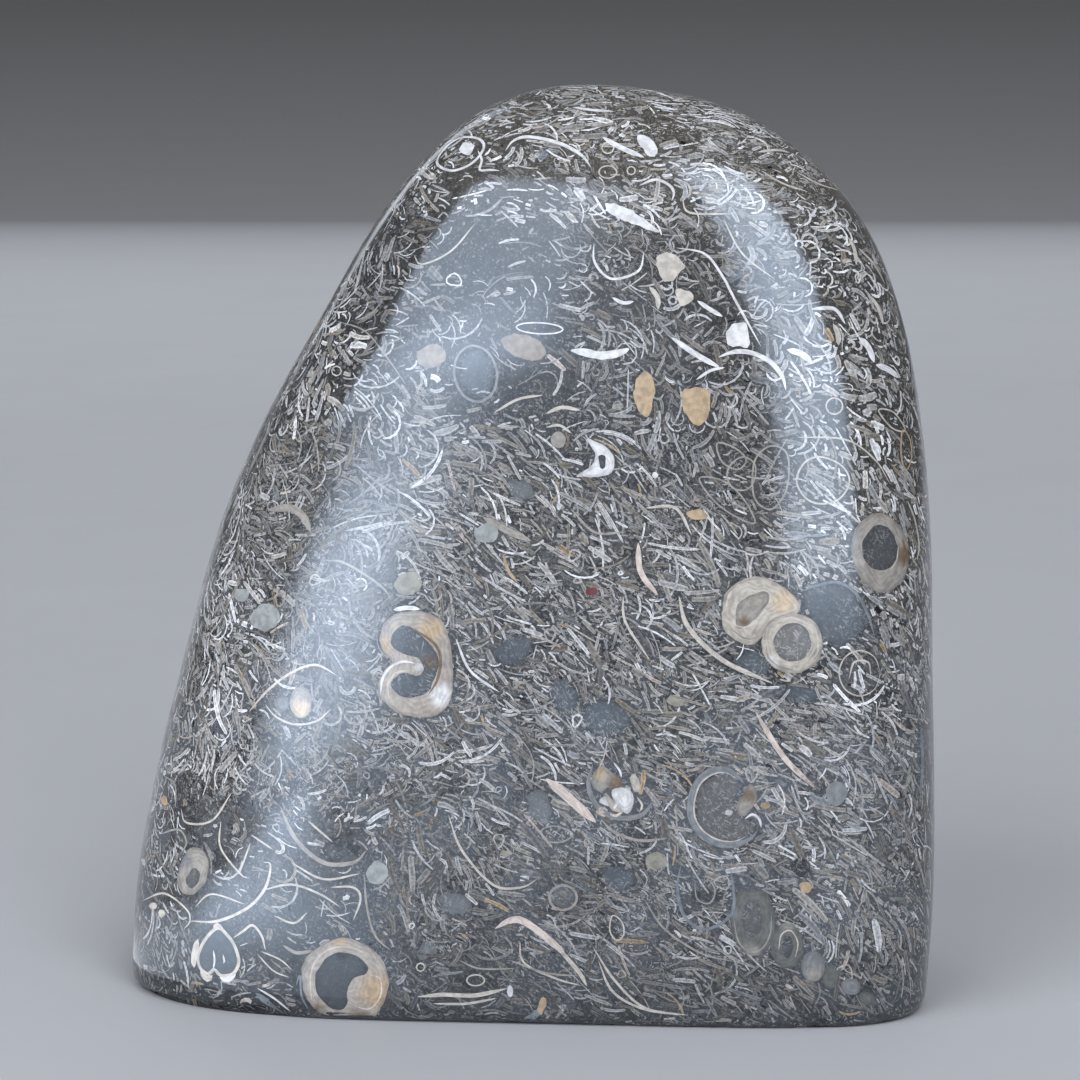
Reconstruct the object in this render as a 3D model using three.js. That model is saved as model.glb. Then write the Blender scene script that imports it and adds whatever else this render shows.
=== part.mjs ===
// Freestanding polished stone of fossil shell limestone: a bed of snail shells, thin
// bivalve shells and shell splinters set hard in dark lime mud. It is one natural
// piece, sawn flat underneath to stand, then ground to a rounded hill and polished.
//
// Millimetres, +Z up. The sawn base lies on z = 0, the broad front faces -Y, and the
// origin is the middle of the stone's box at the level of the base.
import * as THREE from 'three';
import { mergeVertices } from 'three/addons/utils/BufferGeometryUtils.js';

// Driving dimensions.
const HEIGHT = 130;
const WIDTH = 117;
const DEPTH = 66;
const ARRIS = 1.5; // rounding where the sawn base meets the polished sides
const FRONT_TURN = 0.08; // how much nearer the right of the front stands than the left
const SQUARE_LEFT = 3.4; // at the base: 2 is an ellipse, and more is squarer
const SQUARE_RIGHT = 5.2; // at the base
const SQUARE_TOP = 2.1; // both sides, at the summit
const LEFT_HOLDS = 5; // 1 rounds the left off evenly on the way up, and more keeps it square

// Mesh: squares on each side of a closed block, whose skin is drawn over the stone.
const SQUARES_ACROSS = 34;
const SQUARES_DEEP = 20;
const SQUARES_UP = 32;
const CROWD_TO_BASE = 1.7; // above 1, rows of squares lie closer together near the base
const TOP_SHARE = 0.3; // from 0, rows crowded at the summit, to 1, rows wide apart there
const TINY = 1e-6;

// Outline of the stone at levels from the base to the summit, as shares of the height,
// half width and half depth: how high, where the left and right edges are, where the
// front and back are. The last level is the summit.
const LEVELS = [
  { high: 0.0, left: -0.993, right: 0.982, front: -0.98, back: 0.95 },
  { high: 0.12, left: -0.973, right: 1.0, front: -1.0, back: 0.97 },
  { high: 0.25, left: -0.916, right: 1.0, front: -1.0, back: 0.97 },
  { high: 0.38, left: -0.843, right: 0.995, front: -0.97, back: 0.95 },
  { high: 0.51, left: -0.76, right: 0.99, front: -0.92, back: 0.9 },
  { high: 0.63, left: -0.647, right: 0.968, front: -0.84, back: 0.83 },
  { high: 0.745, left: -0.503, right: 0.922, front: -0.73, back: 0.74 },
  { high: 0.85, left: -0.367, right: 0.83, front: -0.575, back: 0.62 },
  { high: 0.93, left: -0.222, right: 0.67, front: -0.39, back: 0.47 },
  { high: 0.981, left: -0.062, right: 0.46, front: -0.18, back: 0.3 },
  { high: 1.0, left: 0.155, right: 0.155, front: 0.07, back: 0.07 },
];

// Past the summit each line carries on as the one opposite, so the top closes smoothly.
function overTheSummit(level) {
  return { ...level, left: level.right, right: level.left, front: level.back, back: level.front };
}

const RUNGS = [...LEVELS, overTheSummit(LEVELS.at(-2))];

function lineThrough(levelToPoint) {
  return new THREE.CatmullRomCurve3(RUNGS.map(levelToPoint), false, 'catmullrom');
}

const SIDE_LINES = lineThrough((l) => new THREE.Vector3(l.left, l.right, l.high));
const FACE_LINES = lineThrough((l) => new THREE.Vector3(l.front, l.back, l.high));

// The stone's level outline, climb going from 0 at the base to 1 at the summit.
function sectionAt(climb) {
  const along = (climb * (LEVELS.length - 1)) / (RUNGS.length - 1);
  const side = SIDE_LINES.getPoint(along);
  const face = FACE_LINES.getPoint(along);
  return {
    z: side.z * HEIGHT,
    midX: ((side.x + side.y) / 2) * (WIDTH / 2),
    midY: ((face.x + face.y) / 2) * (DEPTH / 2),
    halfWidth: ((side.y - side.x) / 2) * (WIDTH / 2),
    halfDepth: ((face.y - face.x) / 2) * (DEPTH / 2),
    squareLeft: THREE.MathUtils.lerp(SQUARE_LEFT, SQUARE_TOP, climb ** LEFT_HOLDS),
    squareRight: THREE.MathUtils.lerp(SQUARE_RIGHT, SQUARE_TOP, climb),
  };
}

// How far the base's rounded arris draws the outline in at height z.
function arrisInset(z) {
  if (z >= ARRIS) {
    return 0;
  }
  return ARRIS - Math.sqrt(ARRIS ** 2 - (ARRIS - z) ** 2);
}

// The point of the skin at a climb, in a level direction.
function skinPoint(climb, direction) {
  const section = sectionAt(climb);
  const cos = Math.cos(direction);
  const sin = Math.sin(direction);
  const square = THREE.MathUtils.lerp(section.squareLeft, section.squareRight, (1 + cos) / 2);
  const across = Math.abs(cos / Math.max(section.halfWidth, TINY)) ** square;
  const deep = Math.abs(sin / Math.max(section.halfDepth, TINY)) ** square;
  const reach = (across + deep) ** (-1 / square) - arrisInset(section.z);
  const x = section.midX + reach * cos;
  const y = section.midY + reach * sin - FRONT_TURN * reach * cos;
  return new THREE.Vector3(x, y, section.z);
}

// A corner of the block's squares drawn onto the stone: x and y run from -1 to 1 and z
// from 0 to 1. The block's sides and top become the polished skin, and its bottom becomes
// the flat base.
function drawn(x, y, z) {
  const wideX = Math.tan((x * Math.PI) / 4);
  const wideY = Math.tan((y * Math.PI) / 4);
  const direction = Math.atan2(wideY * DEPTH, wideX * WIDTH);
  const turned = Math.atan2(z ** CROWD_TO_BASE, Math.hypot(wideX, wideY)) / (Math.PI / 2);
  const climb = (1 - TOP_SHARE) * (2 * turned - turned ** 2) + TOP_SHARE * turned;
  if (z > 0) {
    return skinPoint(climb, direction);
  }
  const point = skinPoint(0, direction);
  const base = sectionAt(0);
  const share = Math.max(Math.abs(x), Math.abs(y));
  point.x = THREE.MathUtils.lerp(base.midX, point.x, share);
  point.y = THREE.MathUtils.lerp(base.midY, point.y, share);
  return point;
}

function stoneGeometry() {
  const block = new THREE.BoxGeometry(2, 2, 1, SQUARES_ACROSS, SQUARES_DEEP, SQUARES_UP);
  block.translate(0, 0, 0.5);
  block.deleteAttribute('normal');
  block.deleteAttribute('uv');
  const skin = mergeVertices(block, 1e-5);
  const corners = skin.getAttribute('position');
  for (let i = 0; i < corners.count; i += 1) {
    const z = corners.getZ(i);
    const point = drawn(corners.getX(i), corners.getY(i), z < TINY ? 0 : z);
    corners.setXYZ(i, point.x, point.y, point.z);
  }
  // The stone's own box settles where its origin is.
  skin.computeBoundingBox();
  const middle = skin.boundingBox.getCenter(new THREE.Vector3());
  skin.translate(-middle.x, -middle.y, 0);
  skin.computeVertexNormals();
  return skin;
}

function fossilStone() {
  const polished = new THREE.MeshStandardMaterial({ color: 0x53565a, roughness: 0.2, metalness: 0 });
  const stone = new THREE.Mesh(stoneGeometry(), polished);
  stone.name = 'stone';
  return stone;
}

const part = new THREE.Group();
part.name = 'fossil_shell_stone';
part.add(fossilStone());

export default part;
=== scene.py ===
# A freestanding polished stone of fossil shell limestone: snail shells, thin bivalve
# shells and thousands of shell splinters set in dark lime mud. Lengths are in metres.
import math

import bmesh
import bpy
import numpy as np
from mathutils import Matrix, Vector, kdtree, noise
from mathutils.bvhtree import BVHTree
from mathutils.geometry import delaunay_2d_cdt


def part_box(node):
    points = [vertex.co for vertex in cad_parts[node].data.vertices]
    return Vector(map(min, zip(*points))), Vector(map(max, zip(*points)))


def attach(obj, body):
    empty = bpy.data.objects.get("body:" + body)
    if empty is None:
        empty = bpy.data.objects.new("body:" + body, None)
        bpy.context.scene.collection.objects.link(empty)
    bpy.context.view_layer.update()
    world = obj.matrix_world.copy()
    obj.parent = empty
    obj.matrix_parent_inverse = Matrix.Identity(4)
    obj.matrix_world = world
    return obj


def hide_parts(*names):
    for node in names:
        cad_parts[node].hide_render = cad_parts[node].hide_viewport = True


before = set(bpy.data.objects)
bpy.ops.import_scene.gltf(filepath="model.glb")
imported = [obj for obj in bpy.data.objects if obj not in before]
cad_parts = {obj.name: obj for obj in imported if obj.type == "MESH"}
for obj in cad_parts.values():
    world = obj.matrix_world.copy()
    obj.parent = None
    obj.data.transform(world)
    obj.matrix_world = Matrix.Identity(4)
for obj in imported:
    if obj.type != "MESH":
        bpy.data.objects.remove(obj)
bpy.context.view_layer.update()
MM = 0.001

# ---------------------------------------------------------------- the viewing place
# The stone is seen from straight in front and a little above, from an arm's length,
# through a long lens, so it looks almost flat on.
stone_low, stone_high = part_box("stone")
MIDDLE = Vector((0, 0, (stone_low.z + stone_high.z) / 2))
EYE_HEIGHT_ANGLE = math.radians(9)
EYE_DISTANCE = 0.65
AIM_RIGHT = 1.75 * MM
AIM_DOWN = 0.85 * MM
FRAME_WIDTH_SEEN = 156.9 * MM  # how much of a sheet through the stone's middle is seen
SENSOR = 36.0

eye_line = Vector((0, math.cos(EYE_HEIGHT_ANGLE), -math.sin(EYE_HEIGHT_ANGLE)))
sheet_right = Vector((1, 0, 0))
sheet_up = sheet_right.cross(eye_line)
aim = MIDDLE + sheet_right * AIM_RIGHT - sheet_up * AIM_DOWN
eye = aim - eye_line * EYE_DISTANCE

camera_data = bpy.data.cameras.new("camera")
camera_data.sensor_width = SENSOR
camera_data.lens = SENSOR * EYE_DISTANCE / FRAME_WIDTH_SEEN
camera_data.clip_start = 0.01
camera = bpy.data.objects.new("camera", camera_data)
camera.location = eye
camera.rotation_euler = eye_line.to_track_quat("-Z", "Y").to_euler()
bpy.context.scene.collection.objects.link(camera)
bpy.context.scene.camera = camera

# -------------------------------------------------------------------------- the stone
# One lump of dark, hard lime mudstone, sawn flat underneath to stand, ground to a
# rounded hill and polished. Its foot is chipped along the sawn edge, most of all at
# the front left.
WELD = 0.01 * MM
SMOOTHING_ROUNDS = 2
WAVE_DEPTH = 0.09 * MM  # the hand-held polish left the skin faintly wavy
WAVE_LENGTH = 24 * MM
# Chips along the sawn edge: ends in x, height at the skin, and how far in they run.
FOOT_CHIPS = (
    (-56 * MM, -33 * MM, 0.7 * MM, 7 * MM),
    (-44 * MM, -32.5 * MM, 0.5 * MM, 4 * MM),
    (37 * MM, 44 * MM, 0.35 * MM, 2 * MM),
)
CHIP_RAMP = 3 * MM
ARRIS_WEAR = 0.3 * MM
ARRIS_CHIP_LENGTH = 2.6 * MM
ARRIS_REACH = 6 * MM  # how far up the skin the edge's wear is felt
ARRIS_WIDTH = 1.2 * MM  # and how far in under the foot
POLISH = 0.09  # roughness of the polished skin
STONE_IOR = 1.6
HAZE_TINT = (0.74, 0.87, 1.0, 1)  # fine pores in the polish throw back bluish light


def welded_squares(mesh):
    """The node's mesh as squares again, with its sawn edge creased."""
    bm = bmesh.new()
    bm.from_mesh(mesh)
    bmesh.ops.remove_doubles(bm, verts=bm.verts, dist=WELD)
    bmesh.ops.join_triangles(
        bm, faces=bm.faces, angle_face_threshold=math.pi, angle_shape_threshold=math.pi
    )
    bm.normal_update()
    crease = bm.edges.layers.float.new("crease_edge")
    for edge in bm.edges:
        downward = [face.normal.z < -0.99 for face in edge.link_faces]
        if any(downward) and not all(downward):
            edge[crease] = 1
    squares = bpy.data.meshes.new("squares")
    bm.to_mesh(squares)
    bm.free()
    return squares


def smoothed(squares):
    """The squares rounded off to a fine even skin."""
    rough = bpy.data.objects.new("rough", squares)
    bpy.context.scene.collection.objects.link(rough)
    rounding = rough.modifiers.new("rounding", "SUBSURF")
    rounding.levels = rounding.render_levels = SMOOTHING_ROUNDS
    seen = rough.evaluated_get(bpy.context.evaluated_depsgraph_get())
    fine = bpy.data.meshes.new_from_object(seen)
    bpy.data.objects.remove(rough)
    bpy.data.meshes.remove(squares)
    return fine


def worn(mesh):
    """Waves the skin and chips the sawn edge, always inwards."""
    floor_level = min(vertex.co.z for vertex in mesh.vertices)
    sawn = [v.co.z < floor_level + WELD for v in mesh.vertices]
    rim = [v.co.copy() for v in mesh.vertices if sawn[v.index] and v.normal.z > -0.97]
    tree = kdtree.KDTree(len(rim))
    for i, place in enumerate(rim):
        tree.insert(place, i)
    tree.balance()
    moves = []
    for vertex in mesh.vertices:
        place = vertex.co
        height = place.z - floor_level
        inward = tree.find(place)[2] if sawn[vertex.index] else 0
        lift = 0
        if height < ARRIS_REACH:
            edge_noise = abs(noise.noise(place / ARRIS_CHIP_LENGTH))
            lift = ARRIS_WEAR * edge_noise**1.5 * max(0, 1 - inward / ARRIS_WIDTH)
            for left, right, tall, deep in FOOT_CHIPS:
                if place.y < 0 and inward < deep:
                    along = min(place.x - left, right - place.x) / CHIP_RAMP
                    rough = 0.8 + 0.5 * edge_noise
                    lift += tall * rough * max(0, min(1, along)) * (1 - inward / deep)
        if sawn[vertex.index]:
            moves.append(Vector((0, 0, lift)))
            continue
        wave = (noise.noise(place / WAVE_LENGTH) - 1) / 2 * WAVE_DEPTH
        wave *= min(1, height / ARRIS_REACH)
        lift *= max(0, 1 - height / ARRIS_REACH)
        moves.append(vertex.normal * wave + Vector((0, 0, lift)))
    for vertex, move in zip(mesh.vertices, moves):
        vertex.co += move
    mesh.update()


class Wire:
    """A socket of a material's nodes that can stand in a sum."""

    def __init__(self, finish, socket):
        self.finish = finish
        self.socket = socket

    def _math(self, operation, first, second):
        return self.finish.node("ShaderNodeMath", {"operation": operation}, {0: first, 1: second})

    def __add__(self, other):
        return self._math("ADD", self, other)

    def __radd__(self, other):
        return self._math("ADD", other, self)

    def __sub__(self, other):
        return self._math("SUBTRACT", self, other)

    def __rsub__(self, other):
        return self._math("SUBTRACT", other, self)

    def __mul__(self, other):
        return self._math("MULTIPLY", self, other)

    def __rmul__(self, other):
        return self._math("MULTIPLY", other, self)

    def __abs__(self):
        return self._math("ABSOLUTE", self, 0)

    def twin(self, name):
        """Another output of the node this one comes from."""
        return Wire(self.finish, self.socket.node.outputs[name])


class Finish:
    """A material, and its nodes as they are added."""

    def __init__(self, name):
        self.material = bpy.data.materials.new(name)
        self.material.use_nodes = True
        self.tree = self.material.node_tree
        self.tree.nodes.clear()
        self.where = self.node("ShaderNodeTexCoord", output="Object")

    def node(self, kind, settings=None, values=None, output=0):
        """Adds a node, sets it, then fills or links its sockets, and returns one output."""
        added = self.tree.nodes.new(kind)
        for name, setting in (settings or {}).items():
            setattr(added, name, setting)
        for name, value in (values or {}).items():
            if isinstance(value, Wire):
                self.tree.links.new(value.socket, added.inputs[name])
            else:
                added.inputs[name].default_value = value
        return Wire(self, added.outputs[output]) if added.outputs else None

    def mixed(self, share, first, second):
        """A colour between two, by share."""
        return self.node("ShaderNodeMix", {"data_type": "RGBA"}, {0: share, 6: first, 7: second}, 2)

    def scaled(self, colour, by):
        """A colour made lighter or darker."""
        return self.node("ShaderNodeVectorMath", {"operation": "SCALE"}, {0: colour, "Scale": by})

    def step(self, value, low, high):
        """0 at low, 1 at high, and smooth between."""
        return self.node(
            "ShaderNodeMapRange",
            {"interpolation_type": "SMOOTHSTEP"},
            {"Value": value, "From Min": low, "From Max": high},
        )

    def cloud(self, size, detail=2.0, roughness=0.5):
        """Cloudy noise about 0.5, whose patches measure about size."""
        return self.node(
            "ShaderNodeTexNoise",
            values={
                "Vector": self.where,
                "Scale": 1 / size,
                "Detail": detail,
                "Roughness": roughness,
            },
        )

    def bent(self, size, by):
        """The place, pushed about by noise, so that what is drawn on it bends."""
        push = self.cloud(size, 1).twin("Color")
        half = (0.5, 0.5, 0.5)
        push = self.node("ShaderNodeVectorMath", {"operation": "SUBTRACT"}, {0: push, 1: half})
        push = self.scaled(push, by)
        return self.node("ShaderNodeVectorMath", {"operation": "ADD"}, {0: self.where, 1: push})

    def polished(self, colour, roughness, height, height_depth):
        """The polished surface of the stone or of a shell in it."""
        bump = self.node(
            "ShaderNodeBump", values={"Strength": 0.3, "Distance": height_depth, "Height": height}
        )
        surface = self.node(
            "ShaderNodeBsdfPrincipled",
            values={
                "Base Color": colour,
                "Roughness": roughness,
                "IOR": STONE_IOR,
                "Specular Tint": HAZE_TINT,
                "Normal": bump,
            },
        )
        self.node("ShaderNodeOutputMaterial", values={"Surface": surface})
        return self.material


MUD_DARK = (0.016, 0.016, 0.016, 1)
MUD_PALE = (0.046, 0.046, 0.046, 1)
MUD_BLUE = (0.044, 0.050, 0.056, 1)
MUD_OLIVE = (0.041, 0.036, 0.028, 1)
DUST_PALE = (0.20, 0.195, 0.19, 1)
DUST_DARK = (0.006, 0.006, 0.007, 1)
FLECK_PALE = (0.31, 0.295, 0.28, 1)
FLECK_GREY = (0.11, 0.109, 0.108, 1)
BLUE_LEVEL = 85 * MM  # the mud is bluer below this level
BROW_FOOT, BROW_TOP = (70 * MM, 86 * MM), (118 * MM, 106 * MM)  # darker mud between
FOOT_PAINTED_SHADE = 18 * MM  # painted shade: the mud is painted darker again from here down
# Smooth mud with little dust in it, at the foot on the left and at the brow.
SMOOTH_FOOT_ACROSS, SMOOTH_FOOT_UP = (-17 * MM, -25 * MM), (36 * MM, 24 * MM)
SMOOTH_BROW_ACROSS, SMOOTH_BROW_UP = (9 * MM, 2 * MM), (86 * MM, 96 * MM)
# Shell dust: how the flecks lie in degrees, their length and thickness, the share shown.
DUST_LAYS = (
    (32, 1.9 * MM, 0.36 * MM, 0.55),
    (20, 1.2 * MM, 0.27 * MM, 0.62),
    (-50, 1.5 * MM, 0.24 * MM, 0.45),
    (80, 1.0 * MM, 0.24 * MM, 0.45),
)


def mud_colour(f):
    """Lime mud full of shell dust: mottled, blue-grey low down, olive at the upper right."""
    place = f.node("ShaderNodeSeparateXYZ", values={"Vector": f.where})
    up = place.twin("Z")
    patches = f.cloud(9 * MM, 3)
    mottle = f.cloud(1.8 * MM, 4, 0.65)
    grain = f.cloud(0.4 * MM, 2, 0.7)
    ground = f.mixed(f.step(mottle, 0.36, 0.66), MUD_DARK, MUD_PALE)
    blue = f.step(patches, 0.44, 0.6) * f.step(up, BLUE_LEVEL, BLUE_LEVEL / 3)
    ground = f.mixed(blue, ground, MUD_BLUE)
    olive = f.step(place * 0.8 + up + patches * 0.03, 0.1, 0.145)
    ground = f.mixed(olive * 0.85, ground, MUD_OLIVE)
    brow = f.step(up, *BROW_FOOT) * f.step(up, *BROW_TOP)
    ground = f.mixed(brow * 0.55, ground, MUD_DARK)
    ground = f.mixed(f.step(grain, 0.54, 0.8) * 0.85, ground, DUST_PALE)
    ground = f.mixed(f.step(grain, 0.42, 0.2) * 0.7, ground, DUST_DARK)
    bent = f.bent(3.2 * MM, 2.6 * MM)
    crowd = f.step(f.cloud(4.2 * MM, 2), 0.42, 0.56) * 0.7 + 0.2
    smooth_foot = f.step(place, *SMOOTH_FOOT_ACROSS) * f.step(up, *SMOOTH_FOOT_UP)
    smooth_brow = f.step(place, *SMOOTH_BROW_ACROSS) * f.step(up, *SMOOTH_BROW_UP)
    crowd = crowd * (1 - 0.8 * smooth_foot) * (1 - 0.75 * smooth_brow) * (1 - 0.6 * brow)
    for number, (lie, long, thick, share) in enumerate(DUST_LAYS):
        turned = f.node(
            "ShaderNodeMapping",
            {"vector_type": "TEXTURE"},
            {
                "Vector": bent,
                "Location": (number * 7 * MM, 0, 0),
                "Rotation": (0, math.radians(lie), 0),
                "Scale": (long, thick, thick),
            },
        )
        fleck = f.node("ShaderNodeTexVoronoi", values={"Vector": turned, "Scale": 1.0})
        chance = f.node("ShaderNodeSeparateColor", values={"Color": fleck.twin("Color")})
        shown = f.step(fleck, 0.42, 0.24) * f.step(chance, 1 - share, 1 - share / 2) * crowd
        colour = f.mixed(chance.twin("Green"), FLECK_GREY, FLECK_PALE)
        ground = f.mixed(shown, ground, colour)
    # Painted shade: the mud is painted darker towards the base.
    ground = f.mixed(f.step(up, FOOT_PAINTED_SHADE, 0) * 0.6, ground, MUD_DARK)
    return ground, patches, mottle


def limestone():
    """The stone itself, polished."""
    f = Finish("polished_limestone")
    ground, patches, mottle = mud_colour(f)
    return f.polished(ground, POLISH + patches * 0.04, mottle, 0.01 * MM)


stone_mesh = smoothed(welded_squares(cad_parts["stone"].data))
worn(stone_mesh)
stone_mesh.name = "polished_stone"
stone_mesh.shade_smooth()
stone_mesh.materials.clear()
stone_mesh.materials.append(limestone())
stone = bpy.data.objects.new("polished_stone", stone_mesh)
bpy.context.scene.collection.objects.link(stone)
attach(stone, "root")
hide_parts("stone")

# --------------------------------------------------------------- snails and clam shells
# Whole and halved shells, cut through by the sawing and polished level with the mud.
# They are laid out on a sheet that stands across the eye's line through the
# middle of the stone: millimetres to the right of the middle, and up from the base.
stone_corners = [vertex.co.copy() for vertex in stone_mesh.vertices]
stone_normals = [vertex.normal.copy() for vertex in stone_mesh.vertices]
stone_faces = [tuple(face.vertices) for face in stone_mesh.polygons]
stone_bvh = BVHTree.FromPolygons(stone_corners, stone_faces)

LAYER = 0.012 * MM  # how much prouder each shell stands than the one under it
KEEL = 0.9  # depth of a thin shell's keel as a share of its width
KEEL_MOST = 0.35 * MM
RIM_STEP = 0.45 * MM
GRID_STEP = 0.6 * MM
PLATE_DEPTH = 0.3 * MM
SLIDE_UP, SLIDE_IN = 0.1 * MM, 0.995  # how a look that misses the stone is moved on to it
TAPER_RATE, TAPER_POWER = 2.2, 0.6  # how a thin shell thins to its ends
STAIN_CORE = 1.6  # a stain is full in its middle and fades from there
RIM_SHADE, RIM_RATE = 0.3, 6  # a large shell is darker at its rim, and how narrowly
GROWTH_PITCH = 4  # millimetres in from the rim to one unit of the growth lines
CELL_EDGE, CELL_SPAN = 0.04, 0.92  # the part of its colour cell that a shell fills
LOWEST = stone_low.z + 0.03 * MM

WHITE = (0.39, 0.387, 0.383)
CREAM = (0.31, 0.285, 0.25)
BUFF = (0.222, 0.199, 0.173)
PALE_BUFF = (0.29, 0.265, 0.225)
BEIGE = (0.185, 0.171, 0.152)
TAN = (0.255, 0.19, 0.12)
PALE_TAN = (0.345, 0.275, 0.19)
DULL_TAN = (0.145, 0.12, 0.095)
BROWN = (0.11, 0.077, 0.05)
PINK = (0.35, 0.3, 0.266)
RUST = (0.24, 0.178, 0.146)
ASH = (0.125, 0.127, 0.128)
BLUE_ASH = (0.115, 0.13, 0.142)
OLIVE_ASH = (0.08, 0.082, 0.075)
MUD_FILL = (0.05, 0.054, 0.06)
BLUE_FILL = (0.075, 0.09, 0.105)
GREY_FILL = (0.10, 0.10, 0.098)
PALE_FILL = (0.17, 0.168, 0.16)
GREY_BLUE = (0.13, 0.142, 0.15)
RED_SPECK = (0.10, 0.03, 0.03)
SHADOW = (0.010, 0.010, 0.010)
BROWN_SHADOW = (0.018, 0.015, 0.012)
PEBBLE = (0.175, 0.185, 0.18)
OLIVE_GRAIN = (0.16, 0.152, 0.125)
DARK_GRAIN = (0.006, 0.009, 0.008)
FRAY = 0.16 * MM  # how far a shell's edge strays from its smooth outline
FRAY_SIZE = 0.9 * MM
noise.seed_set(4)  # otherwise the clock sets where the fray's noise starts


def level_normal(place, face):
    """The skin's smooth normal at a place on one of its faces."""
    total = Vector((0, 0, 0))
    for corner in stone_faces[face]:
        total += stone_normals[corner] / ((stone_corners[corner] - place).length + WELD)
    return total.normalized()


def on_skin(near):
    """The nearest place on the polished skin, and the normal there."""
    place, _, face, _ = stone_bvh.find_nearest(near)
    return place, level_normal(place, face)


class Sheet:
    """The layout sheet on one side of the stone, and what has been laid out on it."""

    def __init__(self, turn):
        around = Matrix.Rotation(math.radians(turn), 3, "Z")
        self.eye = around @ eye
        self.line = around @ eye_line
        self.right = around @ sheet_right
        self.up = around @ sheet_up
        self.taken = []  # closed lines that splinters keep out of

    def onto(self, spot):
        """Where the eye, looking through a spot of the sheet, meets the skin."""
        across, up = spot
        for _ in range(100):
            through = MIDDLE + self.right * across + self.up * (up - MIDDLE.z)
            place, _, face, _ = stone_bvh.ray_cast(self.eye, (through - self.eye).normalized())
            if place:
                return place, level_normal(place, face)
            up += SLIDE_UP if up < MIDDLE.z / 2 else -SLIDE_UP
            across *= SLIDE_IN
        return on_skin(MIDDLE + self.right * across + self.up * (up - MIDDLE.z))

    def spot_of(self, place):
        """The spot of the sheet through which the eye sees a place."""
        line = place - self.eye
        through = self.eye + line * ((MIDDLE - self.eye).dot(self.line) / line.dot(self.line))
        off = through - MIDDLE
        return Vector((off.dot(self.right), off.dot(self.up) + MIDDLE.z))

    def is_taken(self, place, normal):
        """Whether a large shell lies at a place on the skin."""
        if normal.dot(self.line) > 0 or not self.taken:
            return False
        spot = self.spot_of(place)
        return any(
            (spot - middle).length < reach and is_inside(rim, spot)
            for rim, middle, reach in self.taken
        )


class Pen:
    """Where on which sheet the next shells are laid: as measured, or moved and turned."""

    def __init__(self):
        self.at(Sheet(0))

    def at(self, sheet, source=(0, 0), to=(0, 0), size=1.0, turn=0.0, mirrored=False):
        self.sheet = sheet
        self.source = Vector(source) * MM
        self.to = Vector(to) * MM
        self.turning = Matrix.Rotation(math.radians(turn), 2) * size
        if mirrored:
            self.turning = self.turning @ Matrix.Scale(-1, 2, Vector((1, 0)))

    def spot(self, point):
        """A given point in millimetres, as a spot on the sheet."""
        return self.to + self.turning @ (Vector(point) * MM - self.source)


def curve(points, closed=False):
    """A smooth line through spots, as even small steps."""
    count = len(points)
    knots = points if closed else [2 * points[0] - points[1], *points, 2 * points[-1] - points[-2]]
    line = []
    for i in range(count if closed else count - 1):
        a, b, c, d = (knots[(i + k - closed) % len(knots)] for k in range(4))
        pieces = max(1, round((c - b).length / RIM_STEP))
        for j in range(pieces):
            t = j / pieces
            line.append(
                b
                + (c - a) * (t / 2)
                + (2 * a - 5 * b + 4 * c - d) * (t**2 / 2)
                + (3 * b - a - 3 * c + d) * (t**3 / 2)
            )
    return line if closed else [*line, points[-1]]


def frayed(rim, amount):
    """An outline with a slightly ragged edge."""
    line = []
    for spot in rim:
        push = noise.noise_vector(Vector((*spot, 0)) / FRAY_SIZE)
        line.append(spot + Vector((push.x, push.y)) * amount)
    return line


def is_inside(rim, spot):
    """Whether a spot lies inside a closed line."""
    x, y = spot
    inside = False
    for (x0, y0), (x1, y1) in zip(rim, [*rim[1:], rim[0]]):
        if (y0 > y) != (y1 > y) and x < x0 + (y - y0) / (y1 - y0) * (x1 - x0):
            inside = not inside
    return inside


def oval(middle, radii, turn=0):
    """Eight points round an oval, in millimetres."""
    c, s = math.cos(math.radians(turn)), math.sin(math.radians(turn))
    points = []
    for k in range(8):
        x, y = radii[0] * math.cos(math.pi * k / 4), radii[1] * math.sin(math.pi * k / 4)
        points.append((middle[0] + x * c - y * s, middle[1] + x * s + y * c))
    return points


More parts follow.
